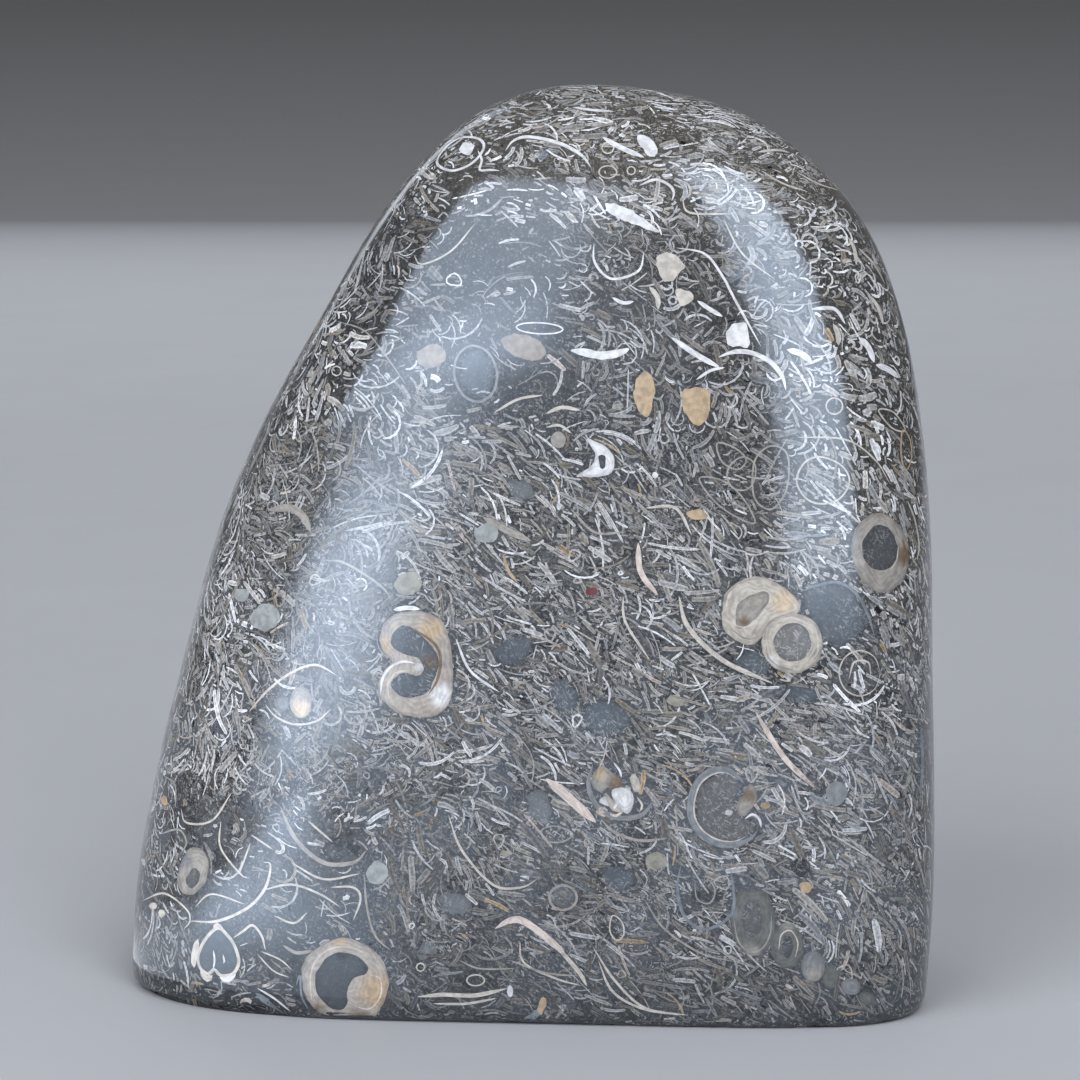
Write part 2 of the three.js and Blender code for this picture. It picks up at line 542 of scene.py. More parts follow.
class Bed:
    """Shell or mud let into the skin, gathered into one mesh."""

    def __init__(self):
        self.points = []
        self.normals = []
        self.tints = []
        self.cells = []
        self.faces = []
        self.shells = 0

    def point(self, place, normal, tint, spot):
        self.points.append((place.x, place.y, max(place.z, LOWEST)))
        self.normals.append(normal)
        self.tints.append(tint)
        self.cells.append((self.shells, *spot))
        return len(self.points) - 1

    def strip(self, path, widths, proud, left, right=None, closed=False, marks=(0, 1)):
        """A strip with a polished top and a keel below. path holds places and normals."""
        right = right or left
        middle = (marks[0] + marks[1]) / 2
        rows = []
        for i, ((place, normal), width) in enumerate(zip(path, widths)):
            along = CELL_EDGE + CELL_SPAN * i / (len(path) - 1)
            if width == 0:
                tip = self.point(place + normal * proud / 2, normal, (*left, middle), (0.5, along))
                rows.append((tip, tip, tip))
                continue
            before = path[i - 1][0] if i or closed else place
            after = path[(i + 1) % len(path)][0] if i < len(path) - 1 or closed else place
            aside = normal.cross(after - before).normalized() * (width / 2)
            top = place + normal * proud
            deep = place - normal * min(KEEL_MOST, width * KEEL)
            rows.append(
                (
                    self.point(top + aside, normal, (*left, marks[0]), (0.06, along)),
                    self.point(top - aside, normal, (*right, marks[1]), (0.94, along)),
                    self.point(deep, -normal, (*left, middle), (0.5, along)),
                )
            )
        pairs = list(zip(rows, rows[1:])) + ([(rows[-1], rows[0])] if closed else [])
        for (l0, r0, k0), (l1, r1, k1) in pairs:
            for face in ((l0, r0, r1, l1), (l0, l1, k1, k0), (r1, r0, k0, k1)):
                self.faces.append(tuple(dict.fromkeys(face)))
        self.shells += 1

    def line(self, width, colour, points, layer=3, closed=False, inner=None, blunt=0.0):
        """A thin shell cut across, through given points, tapering to its ends."""
        spots = [pen.spot(point) for point in points]
        path = [pen.sheet.onto(spot) for spot in curve(spots, closed)]
        last = len(path) - 1
        widths = []
        for i in range(len(path)):
            share = min(i, last - i) / last * 2
            taper = max(blunt, min(1, share * TAPER_RATE)) ** TAPER_POWER
            widths.append(width * MM * (1 if closed else taper))
        if not closed:
            widths[0] = widths[-1] = 0
        self.strip(path, widths, layer * LAYER, colour, inner, closed, (0, width / 4))
        line_places.extend(place for place, _ in path)

    def plate(self, colour, points, layer=2, stains=(), taken=True, grown=1, fray=FRAY):
        """A solid patch inside given points. A stain is a spot, a radius and a colour."""
        rim = curve([pen.spot(point) for point in points], closed=True)
        rim = frayed(rim, fray)
        low = [min(spot[k] for spot in rim) for k in (0, 1)]
        span = [max(spot[k] for spot in rim) - low[k] for k in (0, 1)]
        inner = [
            Vector((low[0] + i * GRID_STEP, low[1] + j * GRID_STEP))
            for i in range(int(span[0] / GRID_STEP) + 1)
            for j in range(int(span[1] / GRID_STEP) + 1)
        ]
        inner = [
            spot
            for spot in inner
            if is_inside(rim, spot) and min((spot - edge).length for edge in rim) > GRID_STEP / 2
        ]
        count = len(rim)
        edges = [(i, (i + 1) % count) for i in range(count)]
        spots, _, triangles, *_ = delaunay_2d_cdt([*rim, *inner], edges, [], 1, 1e-9)
        stains = [(pen.spot(middle), radius * MM, Vector(shade)) for middle, radius, shade in stains]
        top, bottom = [], []
        for spot in spots:
            place, normal = pen.sheet.onto(spot)
            tint = Vector(colour)
            for middle, radius, shade in stains:
                near = 1 - (spot - middle).length / radius
                if near > 0:
                    tint = tint.lerp(shade, min(1, near * STAIN_CORE))
            depth = grown * min((spot - edge).length for edge in rim) / MM / GROWTH_PITCH
            if grown:
                tint *= 1 - RIM_SHADE + RIM_SHADE * min(1, depth * RIM_RATE)
            cell = [CELL_EDGE + CELL_SPAN * (spot[k] - low[k]) / span[k] for k in (0, 1)]
            tint = (*tint, depth)
            top.append(self.point(place + normal * layer * LAYER, normal, tint, cell))
            bottom.append(self.point(place - normal * PLATE_DEPTH, -normal, tint, cell))
        rim_edges = {}
        for a, b, c in triangles:
            self.faces.append((top[a], top[b], top[c]))
            self.faces.append((bottom[c], bottom[b], bottom[a]))
            for pair in ((a, b), (b, c), (c, a)):
                rim_edges[pair] = pair[::-1] not in rim_edges
                if pair[::-1] in rim_edges:
                    rim_edges[pair[::-1]] = False
        for (a, b), is_rim in rim_edges.items():
            if is_rim:
                self.faces.append((top[b], top[a], bottom[a], bottom[b]))
        self.shells += 1
        if taken:
            middle = sum(rim, Vector((0, 0))) / count
            pen.sheet.taken.append((rim, middle, max((edge - middle).length for edge in rim)))

    def make(self, name, material, slot):
        """The gathered shell as one piece, with each shell's colours in a cell of its own."""
        mesh = bpy.data.meshes.new(name)
        mesh.from_pydata(self.points, [], self.faces)
        tint = mesh.color_attributes.new("tint", "FLOAT_COLOR", "POINT")
        tint.data.foreach_set("color", np.array(self.tints, np.float32).ravel())
        side = math.ceil(math.sqrt(self.shells))
        shell, u, v = np.array(self.cells).T
        spots = np.stack([(shell % side + u) / side, (shell // side + v) / side], 1)
        corner = np.empty(len(mesh.loops), np.int32)
        mesh.loops.foreach_get("vertex_index", corner)
        layer = mesh.uv_layers.new(name="OFBake")
        layer.uv.foreach_set("vector", spots[corner].astype(np.float32).ravel())
        mesh.shade_smooth()
        mesh.normals_split_custom_set_from_vertices(self.normals)
        mesh.materials.append(material)
        piece = bpy.data.objects.new(name, mesh)
        bpy.context.scene.collection.objects.link(piece)
        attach(piece, "root")


def shell_finish(name, cloud_size, change, growth):
    """Polished shell in the colours its mesh carries, cloudy inside, with growth lines."""
    f = Finish(name)
    tint = f.node("ShaderNodeVertexColor", {"layer_name": "tint"})
    cloudy = f.cloud(cloud_size, 4, 0.65)
    if growth:
        lines = tint.twin("Alpha") * growth + f.cloud(cloud_size * 3, 1) * 30
        pattern = f.node("ShaderNodeMath", {"operation": "SINE"}, {0: lines}) * 0.07
    else:
        pattern = (abs(tint.twin("Alpha") * 2 - 1) - 0.5) * 0.25
    shade = f.step(cloudy + pattern, 0.28, 0.72)
    colour = f.mixed(shade, f.scaled(tint, 1 - change), f.scaled(tint, 1 + change))
    return f.polished(colour, POLISH + cloudy * 0.05, cloudy, 0.006 * MM)


def mud_fill_finish():
    """Mud that filled a shell: like the mud outside, stained the colour its mesh carries."""
    f = Finish("chamber_mud")
    tint = f.node("ShaderNodeVertexColor", {"layer_name": "tint"})
    ground, patches, mottle = mud_colour(f)
    return f.polished(f.mixed(0.5, ground, tint), POLISH + patches * 0.04, mottle, 0.01 * MM)


shells, fills = Bed(), Bed()
line_places = []  # places along thin shells that splinters keep off
pen = Pen()
FRONT = pen.sheet


def foot_snail():
    """The snail at the foot: a tan shell cut through its last turn."""
    rim = [(-32.7, -0.6), (-32.6, 2.8), (-29.9, 5.3), (-27, 6.4), (-23, 5), (-20.8, 2.4)]
    rim += [(-20.2, -0.6), (-21.4, -3.9), (-23.3, -5.8), (-26.6, -5.8), (-30.2, -4.4), (-32, -2.8)]
    stains = [((-21.9, -1.3), 3.4, TAN), ((-30.4, -3.6), 0.9, BROWN), ((-24.3, -5.4), 1.8, BROWN)]
    stains += [((-27.3, 6.2), 1.6, TAN), ((-32.4, 2), 1.2, BEIGE)]
    shells.plate(BUFF, rim, stains=stains)
    chamber = [(-27.6, 4.2), (-25, 3.8), (-23.3, 2.4), (-23.5, 1.2), (-25.3, 0.5), (-26.2, -1.3)]
    chamber += [(-26.3, -3.3), (-27.6, -4.2), (-29.4, -3.3), (-30.7, -1.3), (-30.8, 1), (-29.5, 3.2)]
    stains = [((-27, 4), 1.2, SHADOW), ((-23.8, 1.8), 0.8, SHADOW)]
    fills.plate(MUD_FILL, chamber, layer=3, stains=stains)
    shells.line(0.3, TAN, [(-25.2, -0.9), (-23.9, -2.4), (-22.4, -1.5), (-22.8, -0.2)], 4)
    shells.line(0.22, CREAM, [(-31.4, -2.8), (-31.6, 0.8), (-30.4, 3.6), (-27.8, 5),
            (-24.6, 4.6), (-22.7, 2.8)], 4)
    shells.line(0.2, PINK, [(-25.2, -3.6), (-22.9, -3.9), (-21.4, -2), (-21.5, 0.4), (-23.1, 1)], 4)
    shells.line(0.3, BLUE_ASH, [(-33.7, -0.6), (-33.1, 0.9), (-32.9, -2), (-31.8, -4.2)])


def hooked_snail():
    """The snail at the left: a thick cream shell round a hooked chamber."""
    rim = [(-21.5, 49.6), (-20.8, 52.2), (-18.3, 53.7), (-14.5, 53.5), (-12.4, 52.2), (-11.2, 48.9)]
    rim += [(-10.9, 44.5), (-11.3, 40.9), (-13.2, 38.8), (-17.2, 38.5), (-20.3, 40), (-21.7, 42.3)]
    rim += [(-21.1, 44.9), (-19.6, 46.5), (-20.6, 47.4)]
    stains = [((-14.2, 51.2), 2.4, TAN), ((-12.3, 46.4), 1.8, BEIGE), ((-12.6, 41.6), 2.2, WHITE)]
    shells.plate(BUFF, rim, stains=[*stains, ((-20.6, 49), 1.4, TAN)])
    chamber = [(-18, 51.8), (-15.7, 50.5), (-13.7, 48.4), (-12.9, 46.4), (-13.7, 43.8)]
    chamber += [(-14.7, 41.9), (-16.9, 41.2), (-18.9, 41.7), (-19.9, 43.1), (-19.3, 44.2)]
    chamber += [(-17.7, 44.8), (-16, 44.4), (-15.1, 45.5), (-16, 47), (-18, 47.6), (-19.6, 48.6)]
    fills.plate(BLUE_FILL, [*chamber, (-19.8, 50.2)], layer=3, stains=[((-14.2, 46.4), 1.6, BROWN)])
    shells.line(0.4, BROWN, [(-16.8, 51.4), (-13.7, 49.2), (-12.7, 47), (-13.1, 44),
            (-14.5, 41.6)], 4)
    shells.line(0.35, WHITE, [(-21.4, 41.7), (-21.1, 44.1), (-19.8, 45.8), (-18, 46.5),
            (-16.3, 46.2)], 4)
    shells.line(0.3, CREAM, [(-20.2, 40.9), (-20.3, 43.2), (-19.2, 44.8), (-17.4, 45.2)], 4)
    shells.line(0.3, BEIGE, [(-20.9, 50), (-19.6, 52.3), (-16.6, 52.9), (-13.4, 51.7)], 4)
    shells.plate(WHITE, oval((-15.9, 45.7), (0.7, 0.6)), layer=4)


def double_snail():
    """The cream snail at the right: a turn, a round last chamber, and a thin outer lip."""
    lip = [(40.3, 56.9), (43.2, 57.7), (46.5, 56.9), (48.5, 54.5), (49.4, 52.2), (46.8, 49.6)]
    fills.plate(BLUE_FILL, [*lip, (44.6, 48.9), (42.7, 50.8), (40.7, 53.7)], layer=1.6)
    lip = [(39.5, 56.6), (42.2, 57.6), (45.1, 58), (47.7, 56.3), (49.4, 53.2), (50.4, 49.9)]
    shells.line(0.4, BLUE_ASH, lip)
    rim = [(28.2, 54), (28.9, 56.6), (31.1, 58.3), (33.7, 58.8), (36.3, 57.9),
            (38.8, 55.8), (39.5, 54)]
    rim += [(37.8, 52.8), (35.9, 52.2), (34.4, 50.5), (32.6, 48.9), (30.1, 49.6), (28.5, 51.3)]
    stains = [((37.2, 55.2), 2.2, PALE_TAN), ((33.5, 50.5), 1.6, BUFF), ((29.2, 55.8), 1.6, BUFF)]
    shells.plate(PALE_BUFF, rim, stains=stains)
    core = [(30.1, 52.8), (30.5, 54.8), (32.3, 56.1), (34.3, 56.6), (35.2, 55.7),
            (33.7, 53.4), (32, 51.8)]
    stains = [((33, 55.4), 1.6, BUFF), ((31.4, 52.3), 1, BROWN)]
    shells.plate(BEIGE, [*core, (30.5, 51.3)], layer=3, stains=stains)
    shells.line(0.3, CREAM, [(28.6, 53.6), (29.3, 56.2), (31.3, 57.8), (33.8, 58.2), (36.2, 57.2)], 4)
    shells.line(0.25, BEIGE, [(29.4, 51.4), (31.2, 50), (33, 49.9), (34.2, 51),
            (35.6, 52.6), (37.8, 53.4)], 4)
    ring = [(30.1, 55), (32.3, 56.7), (34.9, 56.6), (34.9, 54.7), (32.6, 51.9),
            (30.5, 51.6), (29.5, 53.1)]
    shells.line(0.22, CREAM, ring, 4, closed=True)
    rim = [(34.4, 51), (35.9, 52.8), (38.5, 53.5), (41.3, 52.5), (42.7, 50.2),
            (42.6, 47.4), (40.7, 45.4)]
    stains = [((42, 47.8), 1.4, BEIGE), ((35.4, 46.6), 1.2, WHITE), ((37, 45.4), 1, BEIGE)]
    shells.plate(PALE_BUFF, [*rim, (37.8, 44.8), (35.2, 46.1), (34, 48.4)], layer=2.5, stains=stains)
    shells.line(0.28, CREAM, [(35.3, 51.7), (37.4, 52.8), (40, 52.3), (41.8, 50.6),
            (42.1, 48), (40.6, 46)], 4)
    shells.line(0.2, BEIGE, [(34.6, 49), (34.9, 47.2), (36.6, 45.7), (38.8, 45.2)], 4)
    fills.plate(PALE_FILL, oval((38.4, 49.3), (2.7, 2.85)), layer=3.4)
    shells.line(0.2, CREAM, [(35.4, 49.8), (35.6, 47.6), (37.5, 46.1), (40, 46.4),
            (41.5, 48.2), (41.4, 50.4)], 4)


def slant_snail():
    """The snail near the right edge, seen aslant: a tan ring round dark mud."""
    rim = [(48.5, 67), (51.2, 68.1), (53.6, 66.7), (55.2, 63.4), (55.1, 59.8),
            (53.5, 57.3), (50.9, 56.6)]
    stains = [((54.6, 62), 1.8, BROWN), ((48, 61), 1.6, BUFF), ((52.5, 67.2), 1.2, BUFF)]
    shells.plate(BEIGE, [*rim, (48.5, 58.3), (47.2, 61.2), (47.1, 64.4)], stains=stains)
    chamber = [(49.1, 64.9), (50.6, 66.3), (52.3, 65.9), (53.5, 63.8), (53.6, 61.8), (52.5, 60.1)]
    fills.plate(MUD_FILL, [*chamber, (50.3, 59.9), (48.8, 61.5), (48.5, 63.3)], layer=3)
    shells.line(0.5, BROWN, [(54.4, 64.4), (54.8, 62.2), (54.5, 60.1)], 4)
    shells.line(0.2, CREAM, [(53.8, 63.4), (53.5, 61.2), (52.6, 59.8)], 4)
    shells.line(0.35, CREAM, [(55.1, 69.9), (56.2, 67), (56.8, 63.4), (56.5, 61.2)], 4)


def curled_snail():
    """The C-shaped snail: a thin grey wall curled round olive mud."""
    mud = [(24.6, 26.3), (25.6, 28.7), (27.6, 30.1), (29.9, 29.7), (30.8, 28.1),
            (29.9, 25.9), (31.1, 23.7)]
    mud += [(32.8, 22.8), (32.6, 21.4), (30.5, 20.5), (27.3, 20.8), (25, 22.8)]
    fills.plate(GREY_FILL, mud)
    wall = [(31.4, 28.7), (30.5, 29.8), (29.1, 30.7), (26.7, 30.6), (24.7, 29),
            (23.7, 26.3), (23.8, 23.7)]
    wall += [(25.3, 21.4), (27.6, 20.1), (30.1, 19.9), (32.3, 20.8), (33.4, 22)]
    shells.line(1.0, BLUE_ASH, wall, 2.6, inner=ASH)
    inner = [(30.6, 29.2), (28.9, 30.3), (26.8, 30.1), (25, 28.6), (24.2, 26.2),
            (24.3, 23.8), (25.6, 21.8)]
    shells.line(0.22, CREAM, [*inner, (27.7, 20.6), (30, 20.4), (31.9, 21.2)], 4)
    lobe = [(32.3, 28.8), (33.3, 27.2), (32.6, 25.2), (31.1, 24), (30.2, 25.2), (31.1, 27.1)]
    shells.plate(BEIGE, lobe, layer=3, stains=[((32, 27), 1.4, BROWN)])
    shells.plate(WHITE, oval((29.2, 24.6), (0.55, 0.5)), layer=4)
    shells.line(0.35, WHITE, [(31.5, 23.6), (32.6, 24.3), (33.6, 23.6), (33.9, 22.3)], 4)
    shells.plate(TAN, oval((34.5, 25.6), (0.8, 0.5)), layer=3)


def turret():
    """The turret snail, cut along its length: turns that shrink towards the foot."""
    wall = [(22.2, 17), (21.7, 13.3), (22.7, 9.6), (25, 7.7), (27.6, 8.2), (29.7, 10.1), (29.9, 13.3)]
    shells.line(0.45, BLUE_ASH, [*wall, (29.4, 16.5)])
    shells.line(0.22, BEIGE, [(24.2, 14.6), (24.6, 12), (26.4, 11.4), (27.2, 13.2),
            (26.2, 14.8), (25.2, 13.9)])
    rim = [(29.7, 10.6), (30.5, 12.8), (32.6, 13.5), (34.6, 12.8), (35.8, 10.1),
            (35.6, 6.6), (34.4, 4.2)]
    stains = [((35.6, 8), 1, ASH), ((29.6, 10), 1.4, ASH), ((32.5, 4.2), 1.6, BEIGE)]
    shells.plate(OLIVE_ASH, [*rim, (32.3, 3.8), (30.5, 5.3), (29.5, 8)], stains=stains)
    fills.plate(GREY_FILL, oval((32.6, 9.1), (1.45, 2.8)), layer=3)
    rim = [(35.2, 5.3), (36, 7.7), (37.8, 8.6), (39.4, 7.4), (40.1, 5.1), (39.4, 2.8), (37.6, 1.9)]
    shells.plate(OLIVE_ASH, [*rim, (35.9, 2.9)], layer=2.4, stains=[((37.7, 8.4), 1.2, BEIGE)])
    shells.line(0.2, CREAM, [(36.4, 4.4), (36.8, 6.8), (38.2, 7.4), (39.2, 5.6), (38.8, 3.4)], 4)
    fills.plate(MUD_FILL, oval((37.7, 5.1), (0.85, 1.7)), layer=3.4)
    shells.line(0.2, BEIGE, [(29.9, 9), (30.6, 5.8), (32.3, 4.3), (34.1, 4.9), (35.2, 7),
            (35.4, 9.8)], 4)
    shells.plate(ASH, oval((41.4, 2.2), (1.7, 2.3)), layer=2.6, stains=[((41.6, 1), 1.6, BEIGE)])
    shells.plate(OLIVE_ASH, oval((44, 0.6), (1.2, 1.7)), layer=2.8)
    shells.plate(ASH, oval((46.9, -0.7), (1.5, 1.2), -20), layer=2.6)
    shells.plate(OLIVE_ASH, oval((49.2, -2.5), (1.3, 0.9), -20), layer=2.6)


def nest():
    """A ring of grey shell that holds broken white spar and a brown patch."""
    mud = [(9.9, 31.9), (12.6, 32.6), (16.3, 31.9), (18.5, 29.2), (18.5, 26.3),
            (16.3, 24), (12.6, 23.7)]
    fills.plate(MUD_FILL, [*mud, (9.9, 25.5), (8.7, 28.5)], layer=0.35, taken=False)
    shells.line(0.7, ASH, [(9.4, 31.6), (8.8, 28.5), (10, 25.6), (12.6, 23.9),
            (16.3, 24.1), (18.4, 26.4)])
    patch = [(9.4, 30), (10.8, 31.3), (12.2, 30.4), (13.7, 29.2), (13.4, 27.9),
            (11.6, 28.2), (10.5, 27.5)]
    stains = [((13, 28.9), 1.8, BROWN), ((10.4, 30.4), 1.2, TAN)]
    shells.plate(BEIGE, [*patch, (9.4, 28.4)], stains=stains)
    shells.plate(WHITE, [(12.2, 27.8), (14.5, 28.1), (15.4, 26.3), (14.5, 24.4),
            (13.1, 25.5)], layer=3)
    shells.plate(CREAM, [(11.2, 27.4), (12.6, 26.2), (13.7, 24.6), (11.9, 25.2)], layer=4)
    shells.plate(WHITE, [(10.3, 26.1), (11.2, 26.9), (12, 25.5)], layer=3)
    shells.plate(CREAM, [(14.8, 29.6), (15.6, 30.2), (16.4, 28), (15.5, 27.6)], layer=3)
    shells.plate(PINK, [(10.6, 25.4), (11.6, 25), (11.2, 23.9), (9.9, 24.6)], layer=3)
    shells.line(0.3, CREAM, [(15.8, 26.9), (16.6, 25.6), (16.2, 24.7)], 4)
    shells.line(0.3, WHITE, [(12.4, 31.9), (13.3, 30.7), (13.6, 29.6)], 4)
    shells.line(0.35, WHITE, [(14.4, 27.6), (13.2, 26.3), (12.4, 24.9)], 5)
    shells.line(0.4, PINK, [(11.6, 24.6), (12.8, 24.1), (13.9, 24.9)], 3)
    shells.line(0.4, BEIGE, [(10.5, 23.7), (12.6, 21.7), (16.3, 20.5), (20.3, 20.8)])


def heart():
    """Two chambers side by side in blue mud, in a white wall."""
    rim = [(-45.1, 7.8), (-46.8, 6.2), (-47.9, 3.8), (-47.6, 2), (-46.4, 1.1),
            (-45.6, 1.8), (-44.6, 0.9)]
    rim += [(-42.9, 1.1), (-42, 2.8), (-42.6, 5.2), (-43.8, 6.9)]
    fills.plate(BLUE_FILL, rim)
    shells.line(0.5, CREAM, rim, closed=True)
    shells.line(1.0, CREAM, [(-47.9, 6.2), (-48.5, 3.8), (-48.5, 2)], blunt=0.6)
    shells.line(0.9, CREAM, [(-47.6, 1.6), (-46.6, 0.4), (-45.8, 0.9)], blunt=0.6)
    shells.line(0.8, WHITE, [(-44.8, 0.6), (-43.5, 0.3), (-42.4, 1.3)], blunt=0.5)
    shells.line(0.6, CREAM, [(-45.8, 7.6), (-45.1, 8.3), (-44.2, 7.3)], blunt=0.5)
    shells.line(0.3, WHITE, [(-45.7, 1.8), (-45.5, 3.2), (-45.7, 4.6)], 4)
    shells.line(0.3, WHITE, [(-44.3, 4), (-44.1, 3), (-44.2, 2.6)], 4)
    shells.line(0.35, CREAM, [(-42.9, 6.3), (-41.4, 7.3), (-40, 8.2), (-38.7, 6.7), (-38.1, 4.5)])


def almond():
    """A thin clam cut across, holding a pale pebble of shell."""
    shells.line(0.35, PINK, [(-40.6, 39.1), (-37.8, 42.3), (-34.3, 44.9), (-30.8, 46), (-27.6, 44.4)])
    shells.line(0.3, CREAM, [(-38.2, 40.3), (-36.6, 38.5), (-34, 37.4), (-30.8, 37.8), (-28.5, 39.7)])
    shells.plate(BEIGE, oval((-33, 40.6), (1.6, 2.3)), layer=3, stains=[((-33, 39.6), 1.8, PALE_TAN)])
    shells.plate(ASH, oval((-35.8, 40.3), (1.1, 1.2)), layer=3)


def comma():
    """A small beige snail at the left edge."""
    rim = [(-49.1, 19.4), (-47.2, 19.1), (-46.4, 17.3), (-46.8, 14.7), (-48.3, 12.8), (-50, 12.8)]
    shells.plate(BEIGE, [*rim, (-50.9, 14.7), (-50.4, 17.3)], stains=[((-50, 17.6), 1.6, ASH)])
    chamber = [(-48.4, 16.5), (-47.7, 15.6), (-48, 14.1), (-49.1, 13.5), (-49.7, 14.7), (-49.1, 15.9)]
    fills.plate(GREY_FILL, chamber, layer=3)


SNAILS = (foot_snail, hooked_snail, double_snail, slant_snail, curled_snail, turret)
for whole_shell in (*SNAILS, nest, heart, almond, comma):
    whole_shell()

# The white hook with a hole through it, and the solid bits of shell and spar near it.
hook = [(8.7, 78.7), (9.9, 78.5), (11.9, 77.2), (12.5, 75.8), (12.2, 74), (10.5, 73.4), (7.1, 73.4)]
shells.plate(WHITE, [*hook, (8.7, 74.6), (9.6, 75.5), (9.7, 76.9)])
fills.plate(MUD_FILL, [(10.3, 76.3), (11.2, 76.4), (11.2, 74.8), (10.5, 74.7)], layer=3)
BITS = (
    (WHITE, oval((18.5, 73.6), (0.45, 0.45))),
    (RED_SPECK, oval((9.2, 56.7), (0.9, 0.6), 20)),
    (DULL_TAN, [(-16, 91.5), (-14.5, 92.5), (-12.8, 92.5), (-11.8, 91.5), (-12.4, 89.9),
            (-14.2, 89.1), (-15.7, 89.7)]),
    (DULL_TAN, [(-3.8, 93.5), (-1.5, 94.1), (1.5, 93.2), (2.5, 91.7), (1.5, 90.3),
            (-1.2, 90.6), (-3.3, 91.7)]),
    (TAN, [(16.7, 88.4), (18.3, 87.4), (18.2, 84.5), (17.2, 82.2), (15.7, 83.8), (15.6, 86.7)]),
    (TAN, [(22.5, 85.6), (23.5, 86.2), (25.7, 86.2), (26.6, 84.9), (26.3, 82.7),
            (25, 80.8), (22.7, 82.7)]),
    (WHITE, [(6.2, 91.7), (8.3, 92), (10.5, 91.5), (14.7, 92), (13.1, 90.7), (10.5, 90.4),
            (8, 90.9)]),
    (WHITE, [(29.4, 95.2), (31.5, 95.7), (32, 92.5), (30.4, 92.3), (28.9, 92.6)]),
    (CREAM, [(18.8, 105.4), (20.5, 105.8), (22.7, 104), (20.3, 101.5), (18.9, 103.1)]),
    (CREAM, [(21.4, 100.5), (23.5, 100.2), (24.1, 99), (22.4, 98.1)]),
    (WHITE, [(11.2, 112.8), (14, 112.5), (19.2, 108.9), (13.4, 110.8)]),
    (WHITE, [(16, 122.7), (17.4, 122.8), (18.9, 120.8), (17.7, 119.9), (16.4, 121.2)]),
    (WHITE, [(-9.4, 122), (-7.7, 121.6), (-8.4, 120.3), (-9.8, 120.5)]),
    (BEIGE, oval((4.4, 78.7), (1.1, 1.2))),
    (TAN, oval((24.6, 67.8), (1.6, 0.8), -15)),
    (TAN, oval((40.3, 13.7), (0.9, 0.8))),
    (CREAM, oval((-54.4, 11), (0.6, 0.5))),
    (CREAM, oval((-53.2, 9.9), (0.5, 0.6))),
    (WHITE, oval((-2.6, -1.4), (0.45, 0.9))),
    (TAN, [(1.2, -3.9), (2.2, -2.2), (2.7, -3.2), (1.8, -4.9)]),
    (BLUE_ASH, [(1.1, -4), (1.7, -4.9), (0.2, -5.9), (-0.6, -5.6)]),
    (CREAM, oval((-41, -2.9), (0.9, 0.6), 10)),
    (TAN, oval((-52.8, 26.3), (0.5, 0.7))),
)
for colour, points in BITS:
    ragged = 2 if colour in (TAN, DULL_TAN) or len(points) < 7 else 0.5
    shells.plate(colour, points, layer=3, grown=0, fray=FRAY * ragged)
# Dark spots let into the skin: spots of blue mud, and painted shadow in two small pits, in a crevice
# at the front left foot, and in a brown hollow at the front right foot, whose brown is darkened with
# painted shadow.
PAINTED_SHADOWS_AND_MUD_SPOTS = (
    (SHADOW, oval((-3.2, 99.3), (1.1, 0.5), -20)),
    (SHADOW, oval((-14.7, 80.8), (0.8, 0.5), -10)),
    (BLUE_FILL, oval((-7.4, 88.3), (2.4, 3.4), 10)),
    (BLUE_FILL, oval((5.1, 12.2), (1.8, 1.6))),
    (BLUE_FILL, oval((-21.1, 42.6), (1.6, 1.6))),
    (BROWN_SHADOW, [(38.6, -2), (42, -3.4), (46.2, -3), (46, -4.2), (41.8, -5.2), (38.8, -4)]),
    (SHADOW, [(-39.8, -0.6), (-38, -0.9), (-37.2, -1.8), (-38.6, -1.7)]),
)
for colour, points in PAINTED_SHADOWS_AND_MUD_SPOTS:
    fills.plate(colour, points, layer=0.35, taken=False, fray=FRAY * 3)
# Grains of clear and olive spar, and clean mud, among the splinters.
GRAINS = (
    (PEBBLE, oval((-38.2, 52.9), (2.2, 1.9), 20)),
    (PEBBLE, oval((-41.6, 56.2), (1.1, 1.0), -10)),
    (PEBBLE, oval((-21.9, 15.8), (1.5, 1.7))),
    (PEBBLE, oval((-6.1, 65.2), (1.8, 1.4), 15)),
    (ASH, oval((44.8, 27.4), (1.5, 1.8))),
    (OLIVE_GRAIN, oval((-17.4, 57.8), (2.0, 1.7), 25)),
    (OLIVE_GRAIN, oval((-3.2, 18.6), (0.9, 0.6))),
    (OLIVE_GRAIN, oval((18.6, 17.5), (1.6, 1.3))),
    (OLIVE_GRAIN, oval((21.6, 40.8), (1.3, 0.9), -20)),
)
for colour, points in GRAINS:
    shells.plate(colour, points, layer=1, grown=0, fray=FRAY * 2)
CLEAN_MUD = (
    (BLUE_FILL, oval((11.4, 38.2), (3.4, 2.5), -10)),
    (BLUE_FILL, oval((-2, 48.2), (2.8, 1.9), 25)),
    (BLUE_FILL, oval((13.1, 15), (2.3, 1.7))),
    (BLUE_FILL, oval((32.8, 46.2), (2.5, 1.6), -20)),
    (BLUE_FILL, oval((39.6, 41.8), (2.2, 1.3))),
    (BLUE_FILL, oval((5.4, 41.6), (1.8, 2.4), 30)),
    (GREY_BLUE, oval((-10.6, 11.4), (2.4, 1.6), -20)),
    (GREY_BLUE, oval((-14.6, 4.6), (1.6, 1.2), 30)),
    (GREY_BLUE, oval((1.8, 25.4), (1.6, 2.6), 20)),
    (GREY_BLUE, oval((-1.2, 71.6), (2.2, 1.4), -15)),
    (DARK_GRAIN, oval((39.6, 16.6), (1.6, 1.3), -15)),
    (DARK_GRAIN, oval((12.3, 49.2), (0.8, 0.9))),
    (DARK_GRAIN, oval((24.4, 12.6), (0.8, 0.6))),
)
for colour, points in CLEAN_MUD:
    fills.plate(colour, points, layer=0.6, fray=FRAY * 3)
